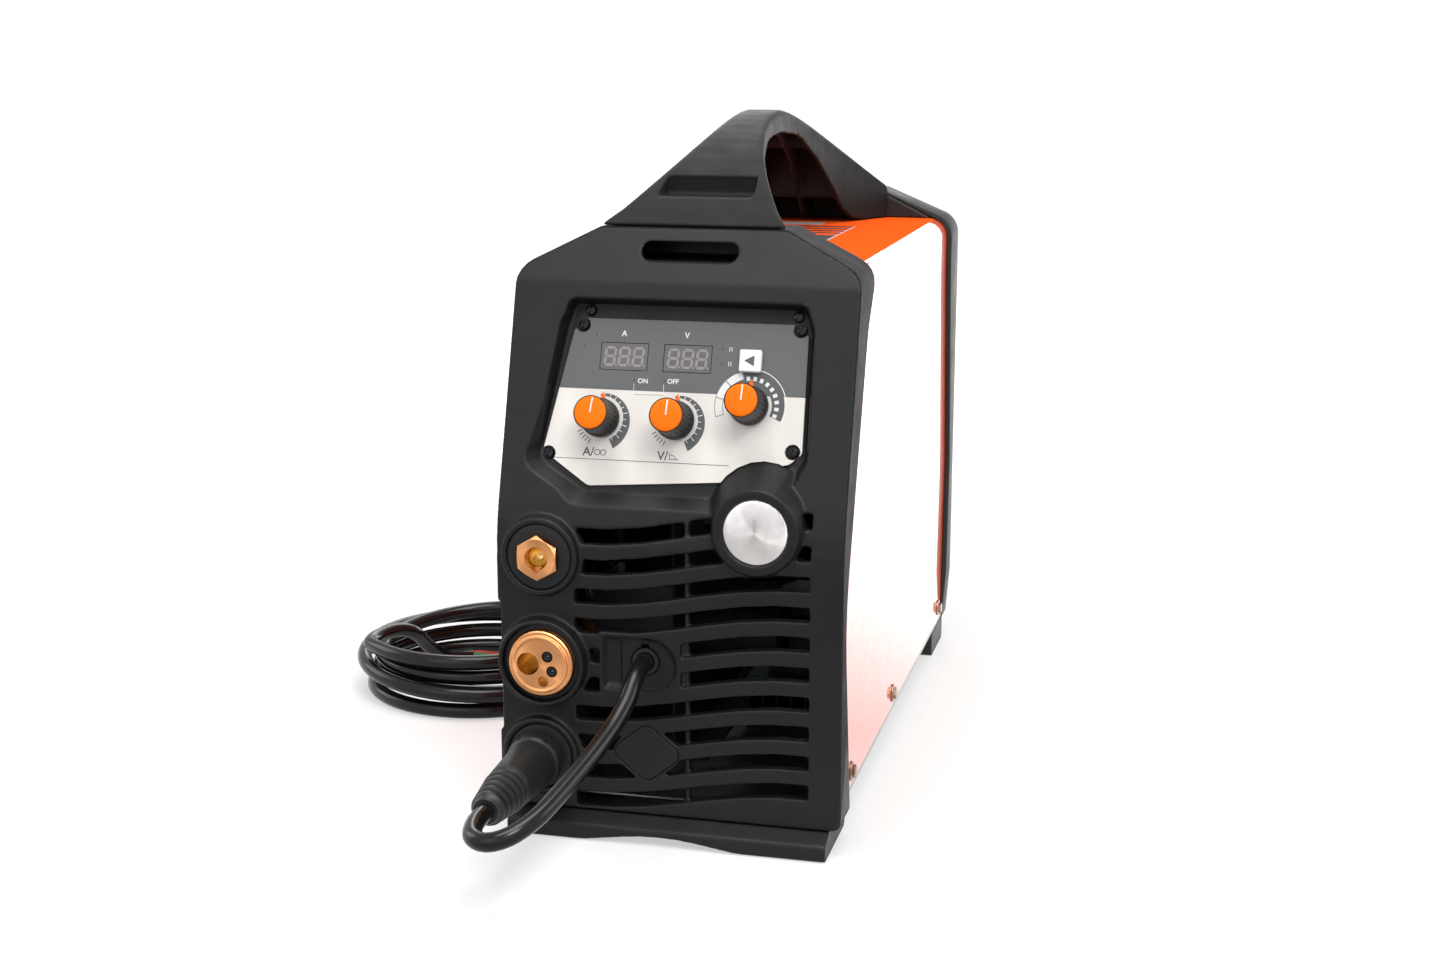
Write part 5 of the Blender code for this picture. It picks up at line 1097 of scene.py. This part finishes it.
marks = {
    "unitA": (-0.0381, 0.0469), "unitV": (0.0012, 0.0470), "unitHeight": 0.0034,
    "on": (-0.0241, 0.0183), "off": (-0.0053, 0.0187), "wordHeight": 0.0028,
    "bracket": ((-0.0296, 0.0166), (-0.0291, 0.0100), (-0.0105, 0.0102), (-0.0110, 0.0168)),
    "strokes": ((0.0288, 0.0397), (0.0288, 0.0309)),
    "lamps": ((-0.0555, 0.0459), (-0.0629, 0.0387), (0.0238, 0.0397), (0.0242, 0.0309), (-0.0296, 0.0188),
              (-0.0108, 0.0190)),
    "rule": ((-0.0763, -0.0305), (0.0330, -0.0303)),
    "lowA": (-0.0545, -0.0261), "lowV": (-0.0080, -0.0266), "lowHeight": 0.0052,
    "bracketWidth": 0.00025, "stroke": (0.0007, 0.0013), "lamp": 0.00055, "rolls": (0.0056, 0.0093),
    "roll": (0.0014, 0.0019),
    "curve": (((0.0044, -0.0019), (0.0044, 0.0019)), ((0.0042, -0.0017), (0.0100, -0.0017)),
              ((0.0044, 0.0010), (0.0066, 0.0008)), ((0.0066, 0.0008), (0.0088, -0.0017))),
}


def printFilm():
    for name in ("current", "voltage"):
        knobScale(knobSpots[name])
    modeRing(knobSpots["mode"])
    for spot in knobSpots.values():
        knobArrow(spot)
    for words, key, size in (("A", "unitA", "unitHeight"), ("V", "unitV", "unitHeight"),
                             ("ON", "on", "wordHeight"), ("OFF", "off", "wordHeight")):
        stamp("white", lettering(words, marks[size], marks[key]))
    corners = marks["bracket"]
    for tone, a, b in zip(("white", "grey", "white"), corners, corners[1:]):
        stamp(tone, inkBar(a, b, marks["bracketWidth"]))
    aside, half = marks["stroke"]
    for x, y in marks["strokes"]:
        for shift in (-aside, aside):
            stamp("white", inkBar((x + shift, y - half), (x + shift, y + half), ink["line"]))
    for spot in marks["lamps"]:
        dot = arcLine(spot, marks["lamp"], marks["lamp"], 0, 345, 23)
        stamp("dark", sheetFrom(dot, filmTop - ink["sink"], filmTop + ink["lift"]))
    stamp("grey", inkBar(*marks["rule"], ink["line"]))
    # Under the first two knobs: amps and wire feed, volts and a falling curve
    for key, words in (("lowA", "A/"), ("lowV", "V/")):
        stamp("grey", lettering(words, marks["lowHeight"], marks[key]))
    x, y = marks["lowA"]
    stamp("grey", *[inkArc((x + shift, y), *marks["roll"], 0, 360) for shift in marks["rolls"]])
    x, y = marks["lowV"]
    for a, b in marks["curve"]:
        stamp("grey", inkBar((x + a[0], y + a[1]), (x + b[0], y + b[1]), ink["line"]))
    inks = {"white": whiteInk, "grey": greyInk, "line": lineInk, "dark": blackInk, "orange": orangeInk}
    for name, meshes in prints.items():
        made = newObject(name + "Prints", joined(*meshes))
        made.data.transform(panelFace)
        settle(made, inks[name], "case", slot="silver_film")


def segmentBar(a, b):       # one pointed bar of a number
    a, b = Vector(a), Vector(b)
    along = (b - a).normalized() * display["bar"] / 2
    side = Vector((-along.y, along.x))
    return [a + along * 0.3, a + along * 1.2 + side, b - along * 1.2 + side,
            b - along * 0.3, b - along * 1.2 - side, a + along * 1.2 - side]


def makeDisplays():
    halfHigh, halfWide = display["height"] / 2, display["width"] / 2
    corners = {(i, j): (i * halfWide, j * halfHigh) for i in (-1, 1) for j in (-1, 0, 1)}
    bars = [((-1, j), (1, j)) for j in (-1, 0, 1)] + [((i, j), (i, j + 1)) for i in (-1, 1) for j in (-1, 0)]
    windows, digits = [], []
    for x, y in display["places"]:
        wide, tall = display["window"]
        face = display["face"]
        under, over = [face + part for part in display["print"]]
        windows.append(slab(x - wide, x + wide, y - tall, y + tall, display["sill"], face))
        for n in range(display["digits"]):
            middle = x + (n - (display["digits"] - 1) / 2) * display["pitch"]
            for first, last in bars:
                outline = segmentBar(corners[first], corners[last])
                spots = [(middle + p.x + p.y * display["slant"], y + p.y) for p in outline]
                digits.append(sheetFrom(spots, under, over))
            shift, radius = display["dot"]
            dot = arcLine((middle + halfWide + shift, y - halfHigh), radius, radius, 0, 330, 11)
            digits.append(sheetFrom(dot, under, over))
    for name, meshes, finish in (
            ("displayWindows", windows, smokeWindow), ("displayDigits", digits, dimDigit)):
        made = newObject(name, joined(*meshes))
        made.data.transform(panelFace)
        settle(made, finish, "case", slot="circuit_board")


refined("control_overlay", filmSilver, 0.00025)
refined("control_board", boardDark, 0.0001, 1)
printFilm()
makeDisplays()

refined("mode_button", keyWhite, 0.0007, 4)
keyArrow = {"outline": ((-0.0036, 0), (0.0026, -0.0033), (0.0026, 0.0033)), "sink": 0.00003, "lift": 0.00006}
_, keyHigh, keySeat = seatOf("mode_button", panelFace)
keyMark = newObject("modeButtonArrow", sheetFrom(
    keyArrow["outline"], keyHigh.z - keyArrow["sink"], keyHigh.z + keyArrow["lift"]))
keyMark.data.transform(keySeat)
settle(keyMark, greyInk, "mode_button", slot="white_plastic")
print("control panel printed")


# Turning knobs

knob = {
    "sides": 192, "flutes": 24, "fluteDepth": 0.00042, "skirt": 0.0119, "grip": 0.0106, "gripTop": 0.0104,
    "foot": 0.0058, "brow": 0.0010, "well": 0.0100, "capRadius": 0.00975, "pointer": 0.0090,
    "pointerWidth": 0.00085, "tilt": {"current": 6, "voltage": 2.5, "mode": 2.5},
}


def makeKnob(name):
    node = name + "_knob"
    low, high, seat = seatOf(node, panelFace)
    tall = high.z - low.z
    foot, brow = knob["foot"], tall - knob["brow"]

    def fluted(radius, height, angle):
        if not foot < height < brow:
            return radius
        wave = max(0.0, cos(knob["flutes"] * angle))
        return radius - knob["fluteDepth"] * wave ** 0.7

    stations = [(0.0112, 0), (0.0118, 0.0003), (knob["skirt"], 0.0010), (knob["skirt"], 0.0032),
                (0.0113, 0.0044), (knob["grip"], foot), (knob["grip"], foot + 0.0006)]
    for n in range(1, 5):
        t = n / 5
        stations.append((knob["grip"] + (knob["gripTop"] - knob["grip"]) * t, foot + (brow - foot) * t))
    stations += [(knob["gripTop"], brow), (knob["gripTop"], tall - 0.0003), (knob["gripTop"] - 0.0002, tall),
                 (knob["well"] + 0.0001, tall), (knob["well"], tall - 0.0002), (knob["well"], tall - 0.0023)]
    place = seat @ Matrix.Translation((0, 0, low.z))
    seated(node, ringed(stations, knob["sides"], fluted), place, knobBlack, 40)
    r = knob["capRadius"]
    disc = [(r - 0.0004, tall - 0.0021), (r, tall - 0.0018), (r, tall - 0.0002), (r - 0.0002, tall + 0.0002),
            (r - 0.0006, tall + 0.0004), (r * 0.6, tall + 0.0006), (r * 0.2, tall + 0.0006)]
    seated(node + "_cap", ringed(disc, 96), place, orangeCap, 50)
    half = knob["pointerWidth"] / 2
    line = slab(-half, half, 0, knob["pointer"], tall + 0.0002, tall + 0.00068)
    line.transform(place @ Matrix.Rotation(-radians(knob["tilt"][name]), 4, "Z"))
    settle(newObject(plainName(node + "_line"), line), whiteInk, node, slot="orange_plastic")


for knobName in knobSpots:
    makeKnob(knobName)
print("knobs turned")


# Screws

screw = {"shank": 0.0015, "length": 0.006, "cross": 0.0010, "crossDepth": 0.0014, "turn": 1.5,
         "overlay": (0.0033, 0.0022), "bezel": (0.0034, 0.0022), "cover": (0.0042, 0.0062, 0.0030)}


def crossHead(radius, height):       # pan head with a cross recess
    shares = ((0, 1), (0.62, 0.98), (0.86, 0.86), (0.97, 0.58), (1, 0.15), (0.97, 0))
    profile = [(radius * across, height * up) for across, up in shares]
    profile += [(screw["shank"], 0), (screw["shank"], -screw["length"]), (0, -screw["length"])]
    made = newObject("crossHead", turned(profile, 32))
    arm, half = radius * 0.72, screw["cross"] / 2
    low, high = height - screw["crossDepth"], height + 0.001
    carve(made, slab(-arm, arm, -half, half, low, high), slab(-half, half, -arm, arm, low, high))
    smoothed(made, 35)
    mesh = made.data
    bpy.data.objects.remove(made)
    return mesh


def washerHead(radius, washer, height):      # hexagon head on a round washer
    plate = turned([(0, 0.0009), (washer * 0.9, 0.0009), (washer, 0.0006), (washer, 0), (screw["shank"], 0),
                    (screw["shank"], -screw["length"]), (0, -screw["length"])], 36)
    hexagon = ringed([(radius, 0.0008), (radius, height - 0.0005), (radius * 0.88, height)], 6)
    return joined(plate, hexagon)


def setScrews(name, names, master, place, height, finish):
    spans = [spanOf(node, place) for node in names]
    spots = [((low.x + high.x) / 2, (low.y + high.y) / 2, high.z - height) for low, high in spans]
    made = copiesOf(name, master, spots, place, finish, screw["turn"])
    settle(smoothed(made, 35), finish, "case", *names)


overlayScrews = ["overlay_screw_%d" % n for n in (1, 2, 3, 4)]
bezelScrews = ["bezel_screw_left", "bezel_screw_right"]
coverScrews = ["cover_screw_" + part for part in ("front", "middle", "rear")]
for kind, names, head, place, finish in (
        ("overlay", overlayScrews, crossHead, panelFace, blackSteel),
        ("bezel", bezelScrews, crossHead, panelFace, blackSteel),
        ("cover", coverScrews, washerHead, rightFace, yellowZinc)):
    setScrews(kind + "Screws", names, head(*screw[kind]), place, screw[kind][-1], finish)
print("screws set")


# Badge disc

def makeBadge():
    low, high, place = seatOf("badge_disc", frontFace)
    r, seat, crown = (high.x - low.x) / 2, low.z, high.z
    stations = [(r - 0.0006, seat), (r, seat + 0.0004), (r, crown - 0.0028), (r - 0.0003, crown - 0.0024),
                (r - 0.0010, crown - 0.0021)]
    for n in range(1, 12):
        t = n / 12
        stations.append(((r - 0.0010) * (1 - t), crown - 0.0021 * (1 - t) ** 2))
    badgeSilver = turnedMetal("badgeSilver", (0.80, 0.775, 0.77), 0.36, place, depth=0.000002)
    seated("badge_disc", ringed(stations, 128), place, badgeSilver, 40)


makeBadge()


# Output sockets and torch socket

def paintLightInBores(made, place, bores, face):       # painted light: the walls inside bores get a lighter, yellower copy of the brass
    made.data.materials.append(boreBrass)
    back = place.inverted()
    for part in made.data.polygons:
        spot = back @ part.center
        if spot.z < face - 0.0004 and any(hypot(spot.x - x, spot.y - y) < r + 0.0005 for x, y, r in bores):
            part.material_index = 1


socket = {"hexagon": 0.0140, "hexThick": 0.0045, "barrel": 0.0115, "mouth": 0.0072, "throat": 0.0066,
          "wall": 0.0045, "depth": 0.0115, "through": 0.0295, "key": 0.0034}


def makeContact(node, tapered):
    low, high, place = seatOf(node, frontFace)
    hexagon, barrel, mouth = socket["hexagon"], socket["barrel"], socket["mouth"]
    throat, depth = socket["throat"], socket["depth"]
    face = high.z
    back = face - socket["hexThick"]
    nut = ringed([(hexagon, back), (hexagon, face)], 6)
    nut.transform(Matrix.Rotation(radians(30), 4, "Z"))
    made = newObject(plainName(node), nut)
    wide = hexagon * 1.02
    shoulder = [(0, face), (hexagon * 0.845, face), (wide, face - 0.0017), (wide, back), (0, back)]
    carve(made, turned(shoulder, 72), operation="INTERSECT")
    root = back + 0.0005
    carve(made, turned([(0, root), (barrel, root), (barrel, low.z), (0, low.z)], 64), operation="UNION")
    bore = [(0, face + 0.001), (mouth + 0.0004, face + 0.001), (mouth, face), (throat, face - 0.0012)]
    if tapered:
        wall = socket["wall"]
        bore += [(throat, face - wall)]
        bore += [(throat * cos(t), face - wall - (depth - wall) * sin(t)) for t in (0.3, 0.6, 0.9, 1.2, 1.4)]
    else:
        depth = socket["through"]
        bore += [(throat, face - depth)]
    carve(made, turned([*bore, (0, face - depth)], 64))
    if tapered:      # the bayonet's key slot
        half = socket["key"] / 2
        key = slab(-half, half, -half, half, face - 0.0060, face + 0.001)
        key.transform(Matrix.Translation((0, -throat - 0.0002, 0)) @ Matrix.Rotation(radians(45), 4, "Z"))
        carve(made, key)
    made.data.transform(place)
    easedEdges(made, 0.00025)
    settle(made, turnedMetal(plainName(node) + "Brass", brassTone, 0.38, place), "case", node)
    paintLightInBores(made, place, [(0, 0, mouth)], face)


def makeInsulator(node, inner, seat, spigot=None):       # soft lipped ring turned from its CAD size
    low, high, place = seatOf(node, frontFace)
    outer, face = (high.x - low.x) / 2, high.z
    profile = [(inner, face - 0.0007), (inner + 0.0006, face), (outer - 0.0012, face),
               (outer - 0.0004, face - 0.0003), (outer, face - 0.0010), (outer, face - seat)]
    if spigot:
        profile += [(spigot, face - seat), (spigot, low.z)]
    profile += [(inner, profile[-1][1])]
    seated(node, turned(profile, 96), place, insulator, 32)


insulators = {"output": (0.0118, 0.0028, 0.0160), "torch": (0.0208, 0.0025)}     # hole, seat and spigot
for part in ("upper", "lower"):
    makeContact(part + "_socket_contact", part == "upper")
    makeInsulator(part + "_socket_ring", *insulators["output"])
makeInsulator("torch_socket_ring", *insulators["torch"])

torch = {
    "bore": 0.0070, "boreShift": -0.0072, "boreDepth": 0.030, "gas": (0.0024, -0.0106), "gasRadius": 0.0033,
    "pins": ((0.0052, 0.0052), (0.0080, -0.0039)), "pinRadius": 0.0032, "pinHole": 0.0035, "pinDrop": 0.001,
    "profile": (      # in from the edge and down from the face
        (0.0052, 0.0007), (0.0040, 0), (0.0031, 0), (0.0027, 0.0004), (0.0027, 0.0017), (0.0022, 0.0021),
        (0.0008, 0.0021), (0, 0.0029), (0, 0.0052), (0.0005, 0.0056), (0.0005, 0.0064), (0, 0.0068)),
}


def makeTorchSocket():
    low, high, place = seatOf("torch_socket_body", frontFace)
    r, face = (high.x - low.x) / 2, high.z
    dish = face - torch["profile"][0][1]
    edge = [(r - inward, face - down) for inward, down in torch["profile"]]
    profile = [(0, dish), *edge, (r, low.z), (0, low.z)]
    made = newObject("torchSocketBody", turned(profile, 128))
    wells = [(torch["boreShift"], 0, torch["bore"], torch["boreDepth"], 0.0007),
             (*torch["gas"], torch["gasRadius"], 0.012, 0.0004)]
    for x, y, radius, depth, lead in wells:
        well = turned([(0, face + 0.001), (radius + lead + 0.001, face + 0.001), (radius + lead, face),
                       (radius, face - lead), (radius, face - depth), (0, face - depth)], 56)
        carve(made, shifted(well, x, y))
    for x, y in torch["pins"]:
        above, below, radius = face + 0.01, low.z - 0.01, torch["pinHole"]
        carve(made, shifted(turned([(0, above), (radius, above), (radius, below), (0, below)], 40), x, y))
    made.data.transform(place)
    easedEdges(made, 0.0002)
    settle(made, turnedMetal("torchBrass", brassTone, 0.38, place), "case", "torch_socket_body")
    paintLightInBores(made, place, [(x, y, radius) for x, y, radius, depth, lead in wells], face - 0.0010)

    # Two signal pins in one carrier behind the body, each with its contact
    tip, r = face - torch["pinDrop"], torch["pinRadius"]
    pinLow, pinHigh = spanOf("torch_socket_pins", place)
    sleeve = turned([(0, tip - 0.0030), (0.0012, tip - 0.0030), (0.0012, tip - 0.0004), (0.0017, tip),
                     (r - 0.0006, tip), (r, tip - 0.0007), (r, pinLow.z + 0.004), (0, pinLow.z + 0.004)], 40)
    contact = turned([(0, tip - 0.0008), (0.0004, tip - 0.0009), (0.0007, tip - 0.0014),
                      (0.0007, tip - 0.0031), (0, tip - 0.0031)], 20)
    spots = [(x, y, 0) for x, y in torch["pins"]]
    sleeves = copiesOf("torchSocketPins", sleeve, spots, Matrix.Identity(4), insulator)
    carrier = slab(pinLow.x, pinHigh.x, pinLow.y, pinHigh.y, pinLow.z, pinLow.z + 0.005)
    sleeves.data = joined(sleeves.data, carrier)
    sleeves.data.transform(place)
    settle(smoothed(sleeves, 35), insulator, "case", "torch_socket_pins")
    tips = copiesOf("torchPinContacts", contact, spots, place, zincSteel)
    settle(smoothed(tips, 35), zincSteel, "case", slot="zinc_steel")


makeTorchSocket()
print("sockets turned")


# Plug of the polarity lead

plug = {
    "sides": 96, "collar": 0.0170, "collarLength": 0.0105, "neck": 0.0156, "waist": 0.0138, "ribs": 5,
    "ribRun": (0.0345, 0.0030), "ribRadius": (0.0136, 0.0104), "groove": 0.0016, "tail": 0.0082,
    "notches": 6, "bore": (0.0065, 0.018),
}


def makePlugBoot():
    low, high, place = seatOf("polarity_plug_boot", frontFace)
    start, end = low.z, high.z
    collarEnd, ribStart = start + plug["collarLength"], end - plug["ribRun"][0]

    def shaped(radius, height, angle):
        if start + 0.002 < height < collarEnd - 0.001:       # grip notches round the collar
            return radius - 0.0007 * max(0.0, cos(plug["notches"] * angle)) ** 6
        if collarEnd + 0.004 < height < ribStart:            # flats on the sides of the body
            return radius * (1 - 0.055 * max(0.0, cos(2 * angle)) ** 2)
        return radius

    stations = [(0.0150, start), (plug["collar"] - 0.0004, start + 0.0003), (plug["collar"], start + 0.0014)]
    stations += [(plug["collar"], start + 0.0014 + n * 0.0014) for n in range(1, 6)]
    stations += [(plug["collar"] - 0.0005, collarEnd - 0.0006), (plug["neck"], collarEnd + 0.0003),
                 (plug["neck"] - 0.0002, collarEnd + 0.0030)]
    steps = 8
    for n in range(1, steps + 1):
        t = n / steps
        stations.append((plug["neck"] + (plug["waist"] - plug["neck"]) * t,
                         collarEnd + 0.003 + (ribStart - collarEnd - 0.005) * t))
    run = (plug["ribRun"][0] - plug["ribRun"][1]) / plug["ribs"]
    for n in range(plug["ribs"]):
        first, last = plug["ribRadius"]
        crest = first + (last - first) * n / (plug["ribs"] - 1)
        foot = ribStart + run * n
        stations += [(crest - drop, foot + run * share) for drop, share in (
            (plug["groove"], 0), (plug["groove"], 0.18), (0.0003, 0.30), (0, 0.42), (0.0001, 0.72),
            (0.0005, 0.88))]
    stations += [(plug["tail"] + 0.0006, end - plug["ribRun"][1]), (plug["tail"], end - 0.0012),
                 (plug["tail"] - 0.0006, end)]
    boot = newObject("polarityPlugBoot", ringed(stations, plug["sides"], shaped))
    radius, depth = plug["bore"]
    before, bottom = start - 0.001, start + depth
    carve(boot, turned([(0, before), (0, bottom), (radius, bottom), (radius, before)], 40))
    boot.data.transform(place)
    settle(smoothed(boot, 42), bootRubber, "case", "polarity_plug_boot")
    return boot


plugBoot = makePlugBoot()
plugPin = refined("polarity_plug_pin", brassPlain)
print("plug moulded")


# Roof print: thin bars with their ends on a slant, beside the handle, and a pale line along their right ends
# that is a painted highlight

# edge is the width of the pale line along the bars' right ends, a painted highlight
stripes = {
    "left": -0.030, "right": 0.046, "block": (0.012, 0.044), "first": 0.056, "width": 0.0085,
    "pitch": 0.0165, "count": 4, "edge": 0.0014, "pale": (0.020, 0.122, 0.142),
}


def makeStripes():
    roof = spanOf("top_cover", roofFace)[1].z
    low, high = roof - 0.00002, roof + 0.00005
    left, right = stripes["left"], stripes["right"]
    dark = [slab(left, right, *stripes["block"], low, high)]
    for n in range(stripes["count"]):
        start = stripes["first"] + n * stripes["pitch"]
        dark.append(slab(left, right, start, start + stripes["width"], low, high))
    settle(newObject("roofStripes", joined(*dark)), blackInk, "case", slot="orange_paint")
    width, front, rear = stripes["pale"]
    # A pale line along the bars' right ends: a painted highlight
    ends = slab(right, right + stripes["edge"], stripes["block"][0], start + stripes["width"], low, high)
    pale = joined(slab(left, width, front, rear, low, high), ends)
    settle(newObject("roofBar", pale), greyBar, "case", slot="orange_paint")


makeStripes()


# Mains switch

switchBody = {"half": (0.0098, 0.0155), "span": (-0.0156, -0.0042), "wall": 0.0012}


def makeSwitchBody():      # tub behind the rocker, so that no daylight shows in its gap
    middle = middleOf("switch_rocker", rearFace)
    (wide, tall), (floor, mouth) = switchBody["half"], switchBody["span"]
    wall = switchBody["wall"]
    outer = slab(-wide - wall, wide + wall, -tall - wall, tall + wall, floor, mouth)
    made = newObject("switchBody", outer)
    carve(made, slab(-wide, wide, -tall, tall, floor + 2 * wall, mouth + wall))
    made.data.transform(rearFace @ Matrix.Translation((middle.x, middle.y, 0)))
    settle(made, knobBlack, "case", slot="black_plastic")


rocker = {"ridge": 0.0032, "ends": {1: 0.0015, -1: 0.0059}, "half": 0.0120, "markAt": 0.0060, "lift": 0.00012,
          "clear": 0.00002, "ring": (0.0019, 0.0025), "bar": (0.0004, 0.0024)}


def makeSwitchMarks():
    refined("switch_rocker", knobBlack, 0.0006, 3)
    middle = middleOf("switch_rocker", rearFace)
    ridge, away, (half, tall) = rocker["ridge"], rocker["markAt"], rocker["bar"]
    ringMark = ribbon(*[arcLine((0, 0), r, r, 0, 360, 32) for r in rocker["ring"]], 0, rocker["lift"])
    barMark = slab(-half, half, -tall, tall, 0, rocker["lift"])
    for name, mesh, upward in (("switchOnMark", barMark, 1), ("switchOffMark", ringMark, -1)):
        made = newObject(name, mesh)
        slope = (rocker["ends"][upward] - ridge) / rocker["half"]
        lean = Matrix.Rotation(slope * upward, 4, "X")
        spot = (middle.x, middle.y + upward * away, ridge + slope * away + rocker["clear"])
        made.data.transform(rearFace @ Matrix.Translation(spot) @ lean)
        settle(made, whiteInk, "switch", slot="black_plastic")


makeSwitchBody()
makeSwitchMarks()


# Pieces that keep their CAD shape, with eased edges

# The partition and feed block get dark finishes in place of their bare metal: painted shade behind the
# grille's slots
plainFinishes = {
    "heatsink": innerBlack,
    "transformer": ferrite,
    "partition": innerGrey,
    "base_tray": galvanised,
    "feed_motor": innerBlack,
    "feed_block": blockGrey,
    "power_board": boardGreen,
}
slotFinishes = {
    "black_plastic": darkPlastic,
    "black_rubber": bootRubber,
    "brass": brassPlain,
    "zinc_steel": zincSteel,
    "aluminium": castAlloy,
}
for name, made in nodes.items():
    if not made.hide_render:
        print("eased", name)
        refined(name, plainFinishes.get(name) or slotFinishes[slotOf[name]])
print("rest dressed")
